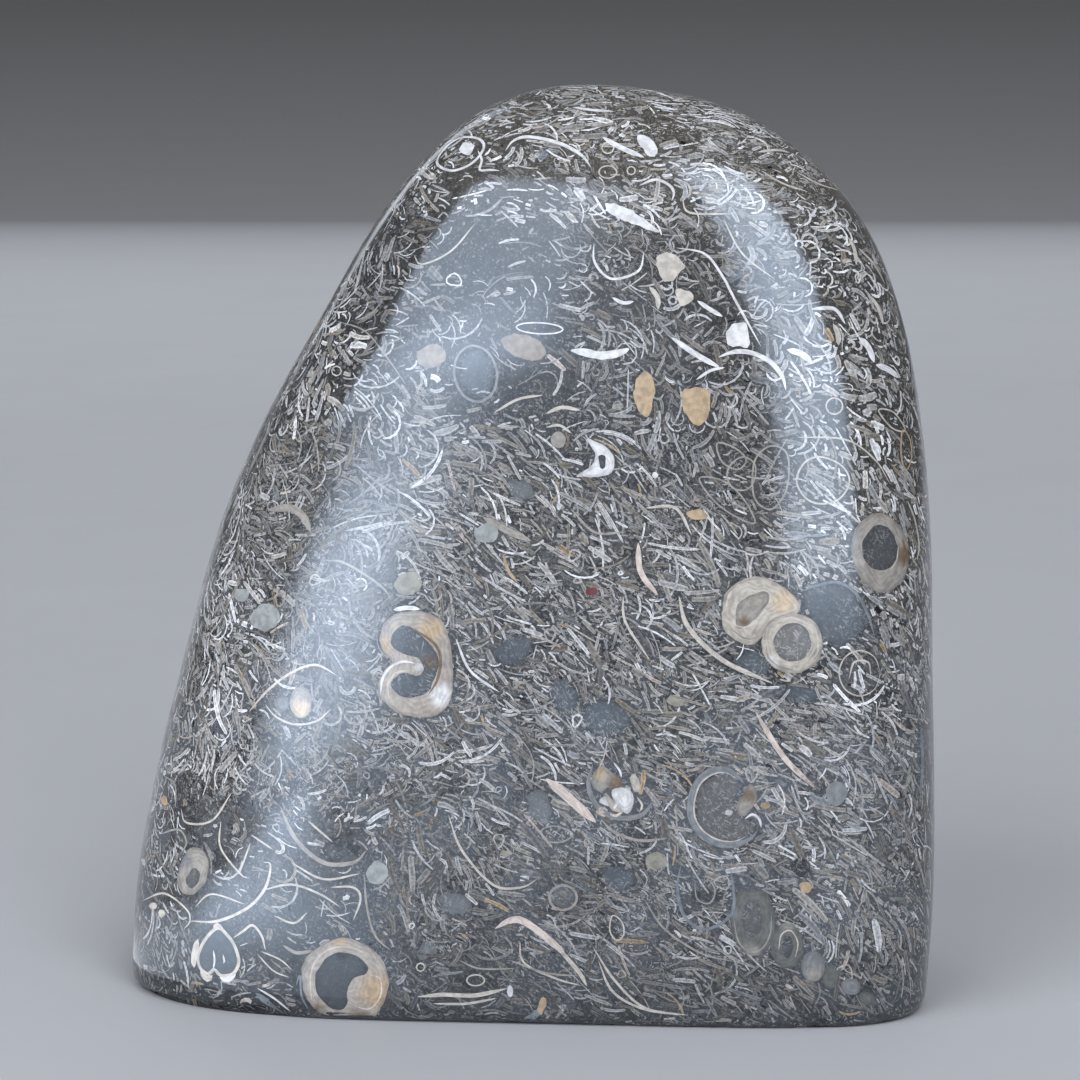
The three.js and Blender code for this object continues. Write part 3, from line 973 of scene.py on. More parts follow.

# Thin shells cut across, each a line: thickness in millimetres, colour and course.
# One of them, down the right edge, is a painted reflection of lamp light, not a shell.
THIN_SHELLS_AND_PAINTED_REFLECTION = (
    (0.3, CREAM, [(-56.1, 11.7), (-52.8, 12.8), (-49.6, 10.5), (-49.1, 8.8), (-50, 7.6)]),
    (0.42, CREAM, [(-49.1, 8.8), (-45.1, 8.8), (-40.6, 10.8), (-38.1, 13.7), (-37.4, 17),
            (-38.5, 17.3)]),
    (0.32, CREAM, [(-38.5, 13.3), (-34.4, 14.1), (-30.4, 12.8), (-27.2, 10.8)]),
    (0.25, CREAM, [(-48.4, 10.8), (-45.9, 12.7), (-41, 11.2)]),
    (0.3, CREAM, [(-44.6, 23.4), (-44.6, 19.4), (-41.4, 15.3), (-40.3, 15.3)]),
    (0.25, CREAM, [(-40.3, 20.2), (-41.9, 15.7)]),
    (0.25, CREAM, [(-40.3, 21.4), (-36.9, 19.1)]),
    (0.6, BEIGE, [(-36, 25.5), (-33.7, 20.7), (-29.7, 17.3), (-25.4, 17.3), (-23.4, 19.1)]),
    (0.3, CREAM, [(-34.4, 17.3), (-29.7, 14.9), (-24.3, 15.7)]),
    (0.3, CREAM, [(-50.4, 25.2), (-49.6, 23.1), (-45.9, 23.4), (-43, 27.5)]),
    (0.3, CREAM, [(-32, 23.4), (-28.3, 20.2)]),
    (0.3, CREAM, [(-36.9, 9.6), (-34, 8.5), (-32, 10.1)]),
    (0.3, BEIGE, [(-23.8, 15.7), (-23.4, 10.8), (-22.2, 6.7), (-19.8, 4.4)]),
    (0.3, CREAM, [(-28.8, 13.7), (-25.4, 13.7), (-24.3, 12.1), (-25.4, 8.8)]),
    (0.3, BEIGE, [(-53.5, 21.4), (-50.7, 22.1), (-49.6, 20.2), (-50.4, 18.6)]),
    (0.3, BEIGE, [(-53, 30), (-51.3, 28.6), (-51.2, 25.2)]),
    (0.35, CREAM, [(-11.6, 24.3), (-9.6, 19.1), (-5.1, 14.1), (-1, 13.7), (1.5, 15)]),
    (0.6, CREAM, [(-16.1, -2.2), (-12.1, -1.9), (-7.7, -2), (-3, -1)]),
    (0.35, CREAM, [(-13.8, -3.2), (-9, -3.2), (-4.5, -2.4)]),
    (0.22, CREAM, [(-39.4, 4.1), (-37, 1.6), (-34.6, 0.6)]),
    (0.22, CREAM, [(-38.8, 4.4), (-36, 3.2), (-34.2, 1.6)]),
    (0.5, BEIGE, [(-35.6, 5.3), (-33.6, 4.2), (-31.2, 4.5)]),
    (0.25, BEIGE, [(-10, 3.1), (-7, 1.9), (-1.9, 1.9)]),
    (0.3, BEIGE, [(-2.6, 3.1), (2.5, 1.3), (7.6, 0.8)]),
    (0.35, CREAM, [(10.2, 3.1), (12.2, -1.3), (16.3, -3.8), (22.1, -4.9)]),
    (1.0, PINK, [(-4.8, 7.7), (-2.5, 8.9), (-0.3, 8.6), (4.2, 5.1), (5.6, 3.4)]),
    (0.6, CREAM, [(4.2, 5.1), (7.3, 1.5), (8.6, -0.7)]),
    (0.3, CREAM, [(-1.2, 6), (-0.6, 2.8), (3.9, 0.5), (7.8, -0.6)]),
    (0.35, BEIGE, [(-29.5, 61.2), (-26.6, 60.8), (-21.5, 57.6), (-19.8, 55.4)]),
    (0.6, WHITE, [(-19.6, 54), (-17.5, 54.3), (-15.6, 54.1)]),
    (0.35, WHITE, [(-10.5, 49.9), (-8.4, 45.2), (-4.1, 42)]),
    (0.45, TAN, [(-3.6, 62.1), (-2.9, 59.8), (-1.5, 57.9)]),
    (0.8, PINK, [(16, 63.8), (16.4, 59.5), (18.9, 56.1)]),
    (0.4, CREAM, [(17, 68.8), (21.4, 68.8), (23.8, 64.9)]),
    (0.35, BEIGE, [(6.1, 68.8), (9.7, 65.3), (14.1, 65.3)]),
    (0.65, CREAM, [(21.9, 56.1), (23.3, 51.5), (28.3, 46.7), (35.6, 43.3)]),
    (0.2, CREAM, oval((48.2, 44.8), (3, 3.3)) + [(51.2, 44.8)]),
    (0.25, CREAM, [(46.6, 43.8), (47.4, 46.4), (49.4, 46.4), (49.8, 44.4)]),
    (0.35, CREAM, [(13.8, 56.1), (14.2, 52.2), (17.7, 46.7)]),
    (0.25, CREAM, [(39, 79.1), (46.2, 78.7), (50.4, 75.8), (52.6, 72.3)]),
    (0.75, PINK, [(33.1, 39.1), (37.1, 32.7), (41.6, 28.2)]),
    (0.4, RUST, [(37.6, 32.4), (39.4, 30.2), (41.8, 28.2)]),
    (1.3, PINK, [(2.6, 29.5), (5.9, 26.7), (9.9, 23.1)]),
    (0.9, BEIGE, [(-6.6, 67.5), (-3, 65.5), (0.5, 64)]),
    (0.3, BEIGE, [(17, 11.8), (19.8, 7.7), (25, 4.2), (29.9, 2.9)]),
    (0.35, CREAM, [(9.4, 5.1), (12.6, 0.2), (17, -3.8), (23.3, -4.9)]),
    # Painted reflection: this bluish line down the right edge is lamp light, not a shell.
    (0.9, BLUE_ASH, [(57.1, 37), (57.3, 31.9), (57, 27)]),
    (0.35, WHITE, [(-7.3, 120.8), (-6.7, 119.3), (-7, 117.9), (-5.5, 117.9), (-4.1, 117.8)]),
    (0.55, WHITE, [(-3.3, 120.7), (-2, 122.2), (0.3, 122.7), (4.5, 121.8), (7.7, 120.1),
            (9.2, 118.2)]),
    (0.28, CREAM, [(-7.6, 110.2), (-11.2, 106.1), (-15.4, 104.2), (-16.6, 105.7)]),
    (0.22, BEIGE, [(-27.9, 96), (-23.7, 94.5), (-20.5, 90.7), (-17.7, 86.7)]),
    (0.4, WHITE, [(16.1, 115.6), (18.5, 116.5), (20.5, 115.7), (21.2, 114.6), (20.9, 113.4)]),
    (0.3, CREAM, [(22.4, 113.8), (23.5, 111.7), (29.4, 111.5)]),
    (0.35, WHITE, [(9.6, 107.4), (9.7, 104.5), (12.1, 102.1), (16, 103.2), (16.9, 106.1)]),
    (0.25, CREAM, [(28.3, 110.9), (31.2, 105.7), (36, 101.9)]),
    (0.35, WHITE, [(21.5, 106.6), (25.7, 105.7), (28.3, 102.4), (30.1, 99), (33.9, 92.2)]),
    (0.65, WHITE, [(27.6, 90.7), (30.1, 91.5), (32.6, 91.3), (35.2, 90), (36.9, 88), (37.5, 85.8)]),
    (0.55, WHITE, [(41.1, 97.7), (44.5, 97.7), (46.1, 95.5)]),
    (0.3, CREAM, [(33.9, 117.8), (36.9, 116), (40.7, 114.7)]),
    (0.5, CREAM, [(48, 106.6), (50.4, 104), (51.9, 101.2)]),
    (1.1, BEIGE, [(-37.8, 68.5), (-34.6, 68.8), (-32.7, 67.6), (-31.5, 65.3)]),
    (1.0, BEIGE, [(-38, 79.5), (-39, 77.2), (-40.7, 73.6)]),
    (0.8, WHITE, [(10.8, 122.7), (13.4, 121.2), (16.9, 119.7)]),
    (0.5, CREAM, [(33.4, 120.5), (36.2, 120.8), (38.1, 120.4)]),
    (0.3, CREAM, [(39, 117.6), (42.2, 115.9), (45.3, 114.9)]),
    (0.5, WHITE, [(6.5, 127), (9.5, 126.6), (12.5, 126.4)]),
    (0.35, CREAM, [(2.6, 80.5), (4.6, 80.8), (6.4, 79.6)]),
    (0.3, BROWN, [(5.4, 79.8), (5.9, 78.4), (5.2, 77.2)]),
    (0.35, CREAM, [(-5, 82.6), (-1.4, 84.6), (2.2, 85.2)]),
    (0.9, BLUE_ASH, [(-39.6, -1.6), (-37.6, -3.2), (-35.4, -4.7)]),
    (0.75, WHITE, [(20.8, 93.6), (24.6, 91), (27.9, 89.2)]),
    (0.6, WHITE, [(24.6, 98.9), (26.7, 97.5), (28.3, 96.6)]),
    (0.9, WHITE, [(37.6, 91.8), (39.7, 91.2), (41.3, 89.9)]),
    (0.7, CREAM, [(46.5, 108.2), (47.4, 106.4), (47.7, 104.1)]),
    (0.8, CREAM, [(44.3, 95.6), (45, 94.2), (45.1, 92.4)]),
    (1.0, WHITE, [(48, 93.6), (49.4, 92.2), (50.3, 89.9)]),
    (0.9, WHITE, [(50.5, 89.6), (52.2, 89), (54, 87.7)]),
    (0.7, CREAM, [(49.8, 99.6), (51, 97.6), (51.6, 95.4)]),
    (0.5, CREAM, [(2.6, 82.5), (4.9, 83.4), (7.6, 83)]),
    (0.4, WHITE, [(28.6, 89.2), (26.6, 88.8), (24.4, 87.4)]),
    (0.7, CREAM, [(17.6, 101), (18.8, 99.4), (18.9, 97.6)]),
    (0.5, WHITE, [(12.2, 99.4), (13.8, 98.6), (15.4, 98.8)]),
    (0.3, WHITE, [(-39.4, -0.9), (-36.9, -2.4), (-34.4, -4.4)]),
)
for thickness, colour, points in THIN_SHELLS_AND_PAINTED_REFLECTION:
    shells.line(thickness, colour, points)

# Thin shells cut right round, that close on themselves.
CLOSED_SHELLS = (
    (0.22, BEIGE, [(27.5, 78.2), (30.1, 77.5), (31.7, 75.8), (30.5, 74.4), (28.2, 75.5)]),
    (0.22, BEIGE, [(28.9, 73.7), (29.8, 75.5), (31.5, 76.2), (33, 75), (32.8, 72.6),
            (31.5, 71.4), (29.7, 71.8)]),
    (0.25, BEIGE, [(32.6, 72.8), (33.1, 76), (35.2, 77.8), (37.5, 76.9), (37.9, 73.6),
            (37.1, 70.4), (35.2, 68.6), (33.1, 69.9)]),
    (0.25, CREAM, [(39, 72.8), (40.3, 75.5), (42.7, 76.2), (45.6, 74.9), (46.7, 72.6),
            (45.3, 70.2), (42.7, 69.4), (40.4, 70.2)]),
    (0.22, BEIGE, [(24.9, 73.1), (28.2, 72.8), (31.1, 70.4), (33, 66.7), (30.1, 67.6), (27, 69.9)]),
    (0.22, CREAM, oval((44.5, 83.6), (1.2, 1.2))),
    (0.28, TAN, [(54.4, 80.1), (55.5, 78.7), (55.7, 76), (54.9, 74.3), (54.2, 76.5)]),
    (0.22, CREAM, [(50.9, 83), (53.1, 82.7), (54.8, 80.1), (52.9, 80.4)]),
    (0.4, WHITE, [(-13.2, 118.9), (-11.9, 121.2), (-9.6, 122.6), (-7.1, 122.4),
            (-6.4, 121.1), (-8.1, 118.9), (-11, 117.8)]),
    (0.35, ASH, oval((-7.6, 88.3), (3.1, 4.1), 10)),
    (0.2, WHITE, oval((1.7, 94.9), (3.4, 0.8), -3)),
    (0.2, CREAM, oval((-7.6, 0.2), (1.3, 0.8))),
    (0.2, CREAM, oval((-15.6, 2.1), (0.6, 0.6))),
    (0.2, CREAM, oval((-27.8, 88.7), (0.7, 0.7))),
    (0.18, CREAM, oval((15, 117.8), (0.6, 0.6))),
    (0.2, CREAM, oval((11.6, 121.1), (0.9, 0.8))),
    (0.2, CREAM, oval((11.6, 117.6), (1.3, 0.9))),
    (0.2, BEIGE, [(2, 22), (4, 22.6), (6.5, 21.5), (5, 20.3), (2.6, 20.5)]),
    (0.2, CREAM, [(12.3, 9.6), (13.7, 8.6), (13.9, 6.8), (12.9, 6), (11.9, 7.4)]),
    (0.35, BEIGE, oval((5.1, 12.2), (2, 1.8))),
)
for thickness, colour, points in CLOSED_SHELLS:
    shells.line(thickness, colour, points, closed=True)

# On the other sides the same kinds of shell lie scattered, turned each its own way.
BACK, RIGHT, LEFT = Sheet(180), Sheet(90), Sheet(-90)
SCATTERED = (
    (BACK, hooked_snail, (-16, 46), (18, 88), 1.1, 140),
    (BACK, foot_snail, (-26.5, 0), (-8, 52), 0.9, 60),
    (BACK, double_snail, (38, 52), (-28, 78), 0.9, 200),
    (BACK, curled_snail, (28.5, 25.5), (36, 44), 1.2, -40),
    (BACK, turret, (36, 7), (-14, 22), 1.1, 100),
    (BACK, nest, (13.5, 27.5), (4, 108), 1.0, 30),
    (BACK, slant_snail, (51, 62), (-40, 34), 1.0, 70),
    (BACK, heart, (-44.8, 4), (14, 28), 1.2, 200),
    (BACK, almond, (-34, 42), (-2, 76), 1.2, 70),
    (BACK, comma, (-48.6, 16), (42, 14), 1.3, 120),
    (RIGHT, comma, (-48.6, 16), (6, 40), 1.2, 30),
    (RIGHT, hooked_snail, (-16, 46), (-2, 84), 0.8, 250),
    (RIGHT, heart, (-44.8, 4), (-8, 18), 0.9, 20),
    (LEFT, curled_snail, (28.5, 25.5), (-4, 62), 0.9, 160),
    (LEFT, foot_snail, (-26.5, 0), (4, 26), 0.7, 130),
    (LEFT, almond, (-34, 42), (0, 92), 0.8, 60),
)
for sheet, whole_shell, source, to, size, turn in SCATTERED:
    pen.at(sheet, source, to, size, turn, mirrored=sheet is BACK)
    whole_shell()


def fits_the_back(points):
    """Whether a shell lies well inside the back's outline."""
    return all(abs(x) < 40 and 4 < y < 112 for x, y in points)


pen.at(BACK, (-4, 62), (4, 62), mirrored=True)
for number, (thickness, colour, points) in enumerate(THIN_SHELLS_AND_PAINTED_REFLECTION):
    if number % 3 and fits_the_back(points):
        shells.line(thickness, colour, points)
for number, (thickness, colour, points) in enumerate(CLOSED_SHELLS):
    if number % 3 == 1 and fits_the_back(points):
        shells.line(thickness, colour, points, closed=True)

shells.make("snails_and_clams", shell_finish("large_shell", 1.1 * MM, 0.22, 40), "fossil_shell")
fills.make("chamber_mud", mud_fill_finish(), "polished_limestone")

# ---------------------------------------------------------------------- the splinters
# Broken shell, washed together: splinters of snail and clam a few millimetres long, side
# by side in packs with mud between them. They are cut through and polished with the
# stone, so each one shows its pale rims and lies level with the skin.
SIDE_SHARE = {"front": 1.0, "back": 0.42, "left": 0.42, "right": 0.42}  # against the tries below
NEAR_A_LINE = 0.5 * MM
PACK_LEAST, PACK_MOST = 1, 4  # splinters that lie together
ROOM = 0.2 * MM  # what a splinter keeps to itself on each side
TOUCHING_MOST = 0.3
BARE_SIZE, BARE_OVER = 4.5 * MM, 0.33  # patches of mud with few splinters, and how rare
BARE_SHARE, FULL_SHARE = 0.25, 1.15  # of the tries, in such a patch and outside it
FLOW_SIZE = 13 * MM  # how far the splinters keep the same direction
FLOW_SWAY = 1.8  # how much of its swing the flow takes up
LEAN_SPREAD, TURN_SPREAD = 16, 0.2  # a pack's own lean in degrees, and a splinter's in radians
CROSSWISE = 0.07  # the least share that lie across the others
GAP = 0.25  # millimetres between neighbours in a pack
BEND_STEPS, STEPS_MOST = 1.2, 7  # more steps for each radian of bend, up to a limit
PROUD_LEAST = 0.004 * MM
PROUD_MOST = 0.016 * MM
LOW_TOP, MIDDLE_TOP = 44 * MM, 80 * MM  # the front's splinters are three pieces
LOWEST_SPLINTER = 0.2 * MM
LOWEST_RING = 2 * MM
SAWN_BELOW = 3 * MM  # level skin lower than this is the sawn base
END_STEP = 0.06  # a splinter's two end steps, as a share of its length
LONGEST = 7.5
WIDEST = 1.0
RINGS_PER_AREA = 0.007 / MM**2
RING_SIDES = 12
# Kinds of splinter, widest first: tries per square millimetre, median length and
# thickness in millimetres, how much it curls, and how pale it is.
KINDS = (
    (0.13, 4.6, 0.26, 2.2, 0.85),
    (0.32, 2.9, 0.55, 0.5, 0.35),
    (0.95, 2.0, 0.36, 0.8, 0.48),
    (1.50, 2.3, 0.18, 1.7, 0.8),
    (1.60, 0.8, 0.24, 0.8, 0.65),
)

# Where on the front they lie differently: levels and widths in millimetres.
CROWN, UPPER, LOW = 112, 84, 34  # above the first two, and below the third
SMOOTH_STRIPE = (132.5, -0.43, 1.7)  # bare, slanting over the crown: level, slope, half width
LEFT_STREAM = (-44, 0.27, 8)  # finer splinters, up the left side: across, slope, width

rng = np.random.default_rng(20)


def ramp(value):
    """Kept between 0 and 1."""
    return min(1, max(0, value))


def habit(place):
    """How splinters lie at a place: slope, swing (degrees), curl, whiteness, share, light."""
    x, z = place.x / MM, place.z / MM
    if z > CROWN:
        level, rise, half = SMOOTH_STRIPE
        bare = x > 10 and abs(z - level - rise * x) < half or z < CROWN + 7 and -13 < x < 6
        return -12, 34, 0.6, 0.8, 0.15 if bare else 0.85, 1.15
    # Under the upper left reflection the splinters are few: partly bare mud, and partly painted,
    # standing in for the reflection's haze that washes them out. Further left they are painted
    # lighter, painted light on the lit left side.
    if z > UPPER and x < 8:
        share = 0.08 if x > -13 else 0.35 if x > -22 else 0.75
        return -20, 60, 0.7, 0.8, share, 0.85 if x > -25 else 1.2
    # foot is painted shade: the splinters are painted darker towards the base.
    foot = min(1, 0.54 + 0.46 * z / (36 if x < 20 else 18))
    if z < LOW and x < -20:
        return -20, 70, 0.9, 0.7, 0.12 if x > -49 and z > 8 else 0.75, 1.1 * foot
    low_right = ramp((x + 12 + 0.15 * z) / 12) * ramp((92 - z) / 16)
    slope = -30 - max(0, x - 34) * 1.1 if low_right > 0 else -38
    swing = 24 + 66 * (1 - low_right)
    across, lean, width = LEFT_STREAM
    stream = ramp(1.2 - abs(x - across - z * lean) / width) if z < UPPER else 0
    # edge: by the left and right sides the splinters are painted paler and lighter, painted light
    # where the side lamps strike them.
    edge = ramp((abs(x) - 35) / 6) * (1 if x < 0 else ramp((z - 38) / 12))
    centre = ramp((z - 70) / 10) * ramp((34 - x) / 10) if x > 0 else 0
    low_middle = ramp((48 - z) / 10) * ramp((28 - x) / 10)
    curl = 0.4 + 0.6 * (1 - low_right) * (1 - 0.5 * edge) * (1 - 0.5 * stream)
    curl *= 1 + 0.5 * ramp((z - 74) / 8)
    whiteness = max(0.8 if z > 80 else 0.42, 0.9 * edge) - 0.3 * stream + 0.1 * centre
    share = 1 - 0.5 * stream - 0.45 * centre - 0.3 * low_middle
    light = 0.85 + 0.19 * low_right - 0.12 * centre + 0.32 * edge * (1 - 0.4 * low_right)
    light = light - 0.1 * stream - 0.07 * low_middle
    return slope, swing, curl, whiteness, share, light * foot


def skin_sample(per_area):
    """Places spread evenly over the skin above the base."""
    triangles = [(f[0], f[i], f[i + 1]) for f in stone_faces for i in range(1, len(f) - 1)]
    triangles = np.array(triangles)
    corners = np.array(stone_corners)[triangles]
    upright = np.cross(corners[:, 1] - corners[:, 0], corners[:, 2] - corners[:, 0])
    area = np.linalg.norm(upright, axis=1) / 2
    level = np.abs(upright[:, 2]) / 2 > 0.9 * area
    area[level & (corners[:, :, 2].max(axis=1) < SAWN_BELOW)] = 0
    picked = rng.choice(len(area), int(area.sum() * per_area), p=area / area.sum())
    a, b = rng.random((2, len(picked)))
    a, b = np.where(a + b > 1, 1 - a, a), np.where(a + b > 1, 1 - b, b)
    at = corners[picked]
    return at[:, 0] + (at[:, 1] - at[:, 0]) * a[:, None] + (at[:, 2] - at[:, 0]) * b[:, None]


def walk(place, heading, length, bend, steps):
    """A path over the skin of some length, turning by bend in all, with short end steps."""
    shares = np.diff([0, END_STEP, *np.linspace(END_STEP, 1 - END_STEP, steps)[1:], 1])
    path = [on_skin(place)]
    for share in shares:
        here, normal = path[-1]
        heading = (heading - normal * heading.dot(normal)).normalized()
        heading = Matrix.Rotation(bend * share / 2, 3, normal) @ heading
        path.append(on_skin(here + heading * length * share))
        heading = Matrix.Rotation(bend * share / 2, 3, normal) @ heading
    return path


line_tree = kdtree.KDTree(len(line_places))
for number, place in enumerate(line_places):
    line_tree.insert(place, number)
line_tree.balance()
full = set()  # small cubes of space that hold a splinter


def is_free(place, normal):
    """Whether no large shell lies here."""
    if line_tree.find(place)[2] < NEAR_A_LINE:
        return False
    return not any(sheet.is_taken(place, normal) for sheet in (FRONT, BACK, LEFT, RIGHT))


def cube_at(place):
    """The small cube of space a place is in."""
    return (int(place.x / ROOM), int(place.y / ROOM), int(place.z / ROOM))


def cubes_along(path, width):
    """The small cubes that a splinter lies in."""
    cubes = set()
    for (start, normal), (end, _) in zip(path, path[1:]):
        run = end - start
        aside = normal.cross(run).normalized() * max(0, width / 2 - ROOM / 4)
        for k in range(int(run.length / ROOM * 1.4) + 1):
            middle = start + run * (k * ROOM / 1.4 / run.length)
            cubes |= {cube_at(middle), cube_at(middle + aside), cube_at(middle - aside)}
    return cubes


def side_of(normal):
    """Which side of the stone a place is on."""
    if abs(normal.x) > 0.75 or abs(normal.x) > abs(normal.y) * 1.6:
        return "right" if normal.x > 0 else "left"
    return "front" if normal.y < 0 else "back"


def bed_at(place, normal):
    """The piece that a splinter at a place belongs to."""
    side = side_of(normal)
    if side == "front":
        side = "low" if place.z < LOW_TOP else "middle" if place.z < MIDDLE_TOP else "high"
    return beds[side]


def splinter_colour(paleness, light=1.0, small=False):
    """From grey through beige to white, a few tan, pink or black."""
    if rng.random() < 0.025:
        return tuple(np.array((TAN, PINK, BUFF)[rng.integers(3)]) * rng.uniform(0.55, 0.95))
    if small and rng.random() < 0.08:
        return SHADOW
    share = np.clip(paleness + rng.normal(0, 0.28), 0, 1)
    base = np.interp(share, (0, 0.45, 0.8, 1), (0.085, 0.165, 0.27, 0.39))
    base = base * rng.uniform(0.85, 1.1) * light
    warmth = rng.normal(0.07, 0.05) * (1.1 - share)
    return (base * (1 + warmth), base, base * (1 - warmth * 1.3))


beds = {name: Bed() for name in ("low", "middle", "high", "back", "left", "right")}
for tries, usual, thick, curls, paleness in KINDS:
    for seed in skin_sample(tries * 2 / (PACK_LEAST + PACK_MOST) / MM**2):
        seed = Vector(seed)
        _, normal = on_skin(seed)
        slope, swing, curl, whiteness, share, light = habit(seed)
        bare = noise.noise(seed / BARE_SIZE) > BARE_OVER
        share = share * SIDE_SHARE[side_of(normal)] * (BARE_SHARE if bare else FULL_SHARE)
        if rng.random() > share:
            continue
        level = Vector((0, 0, 1)).cross(normal)
        level = level.normalized() if level.length > 0.05 else sheet_right
        rising = normal.cross(level)
        sway = swing * FLOW_SWAY * noise.noise(seed / FLOW_SIZE)
        lean = math.radians(slope + sway + rng.normal(0, LEAN_SPREAD))
        shared_bend = rng.normal(0, curl)
        count = rng.integers(PACK_LEAST, PACK_MOST + 1)
        for number in range(count):
            turn = lean + rng.normal(0, TURN_SPREAD)
            if rng.random() < CROSSWISE + swing / 500:
                turn += rng.uniform(-1.5, 1.5)
            heading = level * math.cos(turn) + rising * math.sin(turn)
            aside = ((number - (count - 1) / 2) * (GAP + thick) + rng.normal(0, 0.15)) * MM
            start = seed + normal.cross(heading) * aside + heading * rng.normal(-0.8, 1.1) * MM
            stout = max(1, light)
            length = min(LONGEST, usual / stout * math.exp(rng.normal(0, 0.42))) * MM
            width = min(WIDEST, thick * stout * math.exp(rng.normal(0, 0.3))) * MM
            bend = shared_bend * curls + rng.normal(0, 0.25 * curls)
            steps = min(STEPS_MOST, 2 + int(length / MM / 2 + abs(bend) * BEND_STEPS))
            proud = rng.uniform(PROUD_LEAST, PROUD_MOST)
            colour = splinter_colour(paleness * (0.6 + 0.5 * whiteness), light, length < 1.3 * MM)
            swell = rng.uniform(0.8, 1.15, steps + 2) * width
            place, here = on_skin(start)
            end, there = on_skin(start + heading * length)
            ends_met = cube_at(place) in full and cube_at(end) in full
            if start.z < LOWEST_SPLINTER or ends_met:
                continue
            if not (is_free(place, here) and is_free(end, there)):
                continue
            path = walk(start, heading, length, bend, steps)
            cubes = cubes_along(path, width)
            if len(cubes & full) > TOUCHING_MOST * len(cubes) or not is_free(*path[len(path) // 2]):
                continue
            full |= cubes
            swell[1] *= 0.8
            swell[-2] *= 0.8
            swell[0] = swell[-1] = 0
            far_rim = tuple(np.array(colour) * rng.uniform(0.8, 1.1))
            bed_at(seed, normal).strip(path, swell, proud, colour, far_rim)

# Small shells cut right round: rings of thin wall.
for seed in skin_sample(RINGS_PER_AREA):
    place, normal = on_skin(Vector(seed))
    if not is_free(place, normal) or place.z < LOWEST_RING:
        continue
    radius = min(1.6, 0.55 * math.exp(rng.normal(0, 0.4))) * MM
    squash = rng.uniform(0.55, 1)
    turn = rng.uniform(0, math.pi)
    across = normal.orthogonal().normalized()
    along = normal.cross(across)
    path = []
    for k in range(RING_SIDES):
        angle = 2 * math.pi * k / RING_SIDES
        reach = radius * (1 + 0.14 * math.sin(3 * angle + turn) + 0.08 * math.sin(2 * angle))
        x, y = reach * math.cos(angle), reach * squash * math.sin(angle)
        x, y = x * math.cos(turn) - y * math.sin(turn), x * math.sin(turn) + y * math.cos(turn)
        path.append(on_skin(place + across * x + along * y))
    wall = [rng.uniform(0.14, 0.24) * MM] * RING_SIDES
    bed_at(place, normal).strip(path, wall, PROUD_MOST * 1.2, splinter_colour(0.55), closed=True)

splinter_finish = shell_finish("splinter_shell", 0.45 * MM, 0.42, 0)
for name, bed in beds.items():
    bed.make("splinters_" + name, splinter_finish, "fossil_shell")
# ------------------------------------------------------------------ floor and lights
# The stone stands on a wide pale satin board, between two tall soft lights that lean
# over it from the front, with dim fill all round.
FLOOR_HALF = 7.0
FLOOR_PALE = (0.31, 0.31, 0.31, 1)
FLOOR_DULL = (0.29, 0.29, 0.295, 1)

floor_mesh = bpy.data.meshes.new("floor")
corners = [(x * FLOOR_HALF, y * FLOOR_HALF, 0) for x, y in ((-1, -1), (1, -1), (1, 1), (-1, 1))]
floor_mesh.from_pydata(corners, [], [(0, 1, 2, 3)])
floor = bpy.data.objects.new("floor", floor_mesh)
floor.location.z = stone_low.z
bpy.context.scene.collection.objects.link(floor)


def pale_board():
    """Pale board with a satin face."""
    f = Finish("pale_board")
    colour = f.mixed(f.cloud(40 * MM, 3), FLOOR_PALE, FLOOR_DULL)
    look = {"Base Color": colour, "Roughness": 0.62, "IOR": 1.4}
    surface = f.node("ShaderNodeBsdfPrincipled", values=look)
    f.node("ShaderNodeOutputMaterial", values={"Surface": surface})
    return f.material


floor_mesh.materials.append(pale_board())


COOL = (0.92, 0.97, 1.07)  # the lamps' slightly blue white


class Glow(Finish):
    """The nodes of a lamp."""

    def __init__(self, lamp):
        lamp.use_nodes = True
        self.tree = lamp.node_tree
        self.tree.nodes.clear()


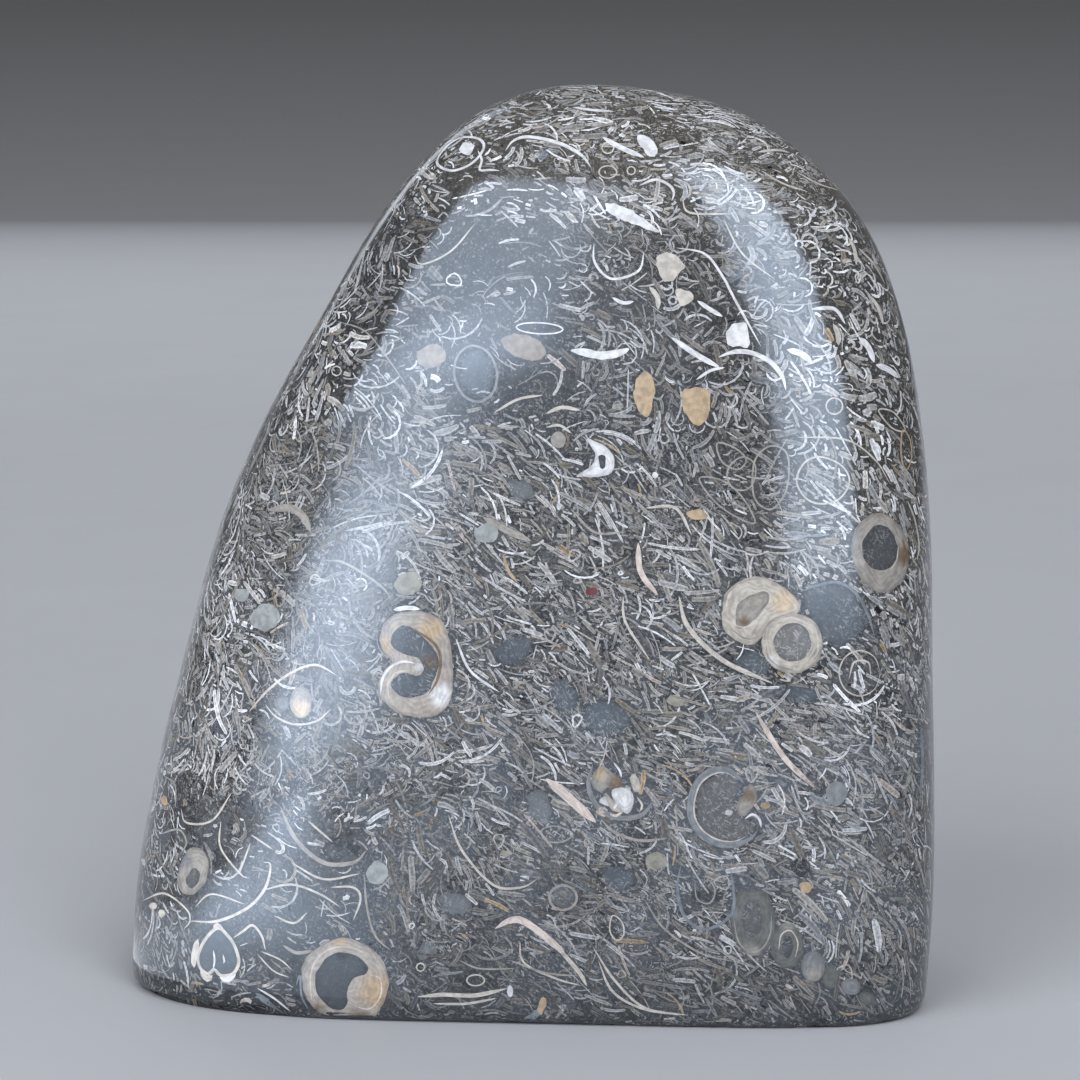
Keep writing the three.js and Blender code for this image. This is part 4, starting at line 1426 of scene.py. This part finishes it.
def softbox(name, azimuth, far, height, size, lean, radiance, soft, aside=0):
    """A cloth-fronted lamp far out at an azimuth right of the front, dimmer to its edges."""
    turn = math.radians(azimuth)
    tip = math.radians(lean)
    lamp = bpy.data.lights.new(name, "AREA")
    lamp.shape = "RECTANGLE"
    lamp.size, lamp.size_y = (side / (1 - soft) for side in size)
    lamp.energy = radiance * math.pi * lamp.size * lamp.size_y
    glow = Glow(lamp)
    cloth = glow.node("ShaderNodeNewGeometry", output="Parametric")
    across = glow.node("ShaderNodeSeparateXYZ", values={"Vector": cloth})
    sideways = glow.step(abs(across - 0.5), 0.5, 0.5 - soft)
    fade = sideways * glow.step(abs(across.twin("Y") - 0.5), 0.5, 0.5 - soft)
    tone = glow.scaled(COOL, fade)
    shine = glow.node("ShaderNodeEmission", values={"Color": tone, "Strength": 1.0})
    glow.node("ShaderNodeOutputLight", values={"Surface": shine})
    light = bpy.data.objects.new(name, lamp)
    outward = Vector((math.sin(turn), -math.cos(turn), 0))
    sidestep = Vector((-outward.y, outward.x, 0)) * aside
    light.location = outward * far + sidestep + Vector((0, 0, height))
    inward = -outward * math.cos(tip)
    inward.z = -math.sin(tip)
    light.rotation_euler = inward.to_track_quat("-Z", "Y").to_euler()
    light.visible_camera = False
    bpy.context.scene.collection.objects.link(light)
    return light


# Each lamp: degrees right of the front, distance, height, size, degrees it leans down,
# brightness, how soft its edges are, and for the two low cards how far they stand aside.
LAMPS = {
    "softbox_left_high": (-38.5, 0.87, 1.05, (0.925, 1.04), 0, 4.5, 0.1),
    "softbox_left_middle": (-30, 0.92, 0.55, (0.8, 0.36), 0, 1.45, 0.35),
    "softbox_left": (-33, 1.0, 0.31, (0.57, 0.62), 21, 2.1, 0.3),
    "softbox_left_core": (-31.5, 0.96, 0.32, (0.32, 0.66), 21, 2.1, 0.5),
    "softbox_left_low": (-38, 0.95, 0.15, (0.5, 0.34), 8, 4.6, 0.4),
    "card_near": (-29.6, 0.103, 0.004, (0.068, 0.095), -89.5, 3.8, 0.5, -0.044),
    "card_far": (-29.6, 0.281, 0.004, (0.068, 0.262), -89.5, 5.6, 0.4, -0.044),
    "softbox_right": (24.5, 1.0, 0.98, (0.62, 1.8), 21, 3.45, 0.1),
    "softbox_right_core": (25, 0.98, 1.10, (0.48, 1.56), 21, 3.6, 0.3),
    "fill_front": (-8, 1.25, 0.20, (0.6, 0.40), 8, 0.25, 0.4),
    "strip_back": (205, 1.0, 0.6, (0.2, 0.8), 25, 1.6, 0.3),
}
# Three dim fills light the stone and the board without showing in the polish.
FILLS = {
    "fill_right": (95, 1.1, 0.5, (1.2, 0.8), 20, 1.7, 0.3),
    "fill_back": (180, 1.1, 0.5, (1.2, 0.8), 20, 2.0, 0.3),
    "fill_above": (0, 0, 2.6, (6, 6), 90, 0.3, 0.3),
}
for name, setting in LAMPS.items():
    softbox(name, *setting)
for name, setting in FILLS.items():
    softbox(name, *setting).visible_glossy = False

ROOM_GREY = (0.15, 0.15, 0.153, 1)
world = bpy.data.worlds.new("room")
bpy.context.scene.world = world
world.use_nodes = True
world.node_tree.nodes["Background"].inputs["Color"].default_value = ROOM_GREY
bpy.context.scene.view_settings.view_transform = "Standard"
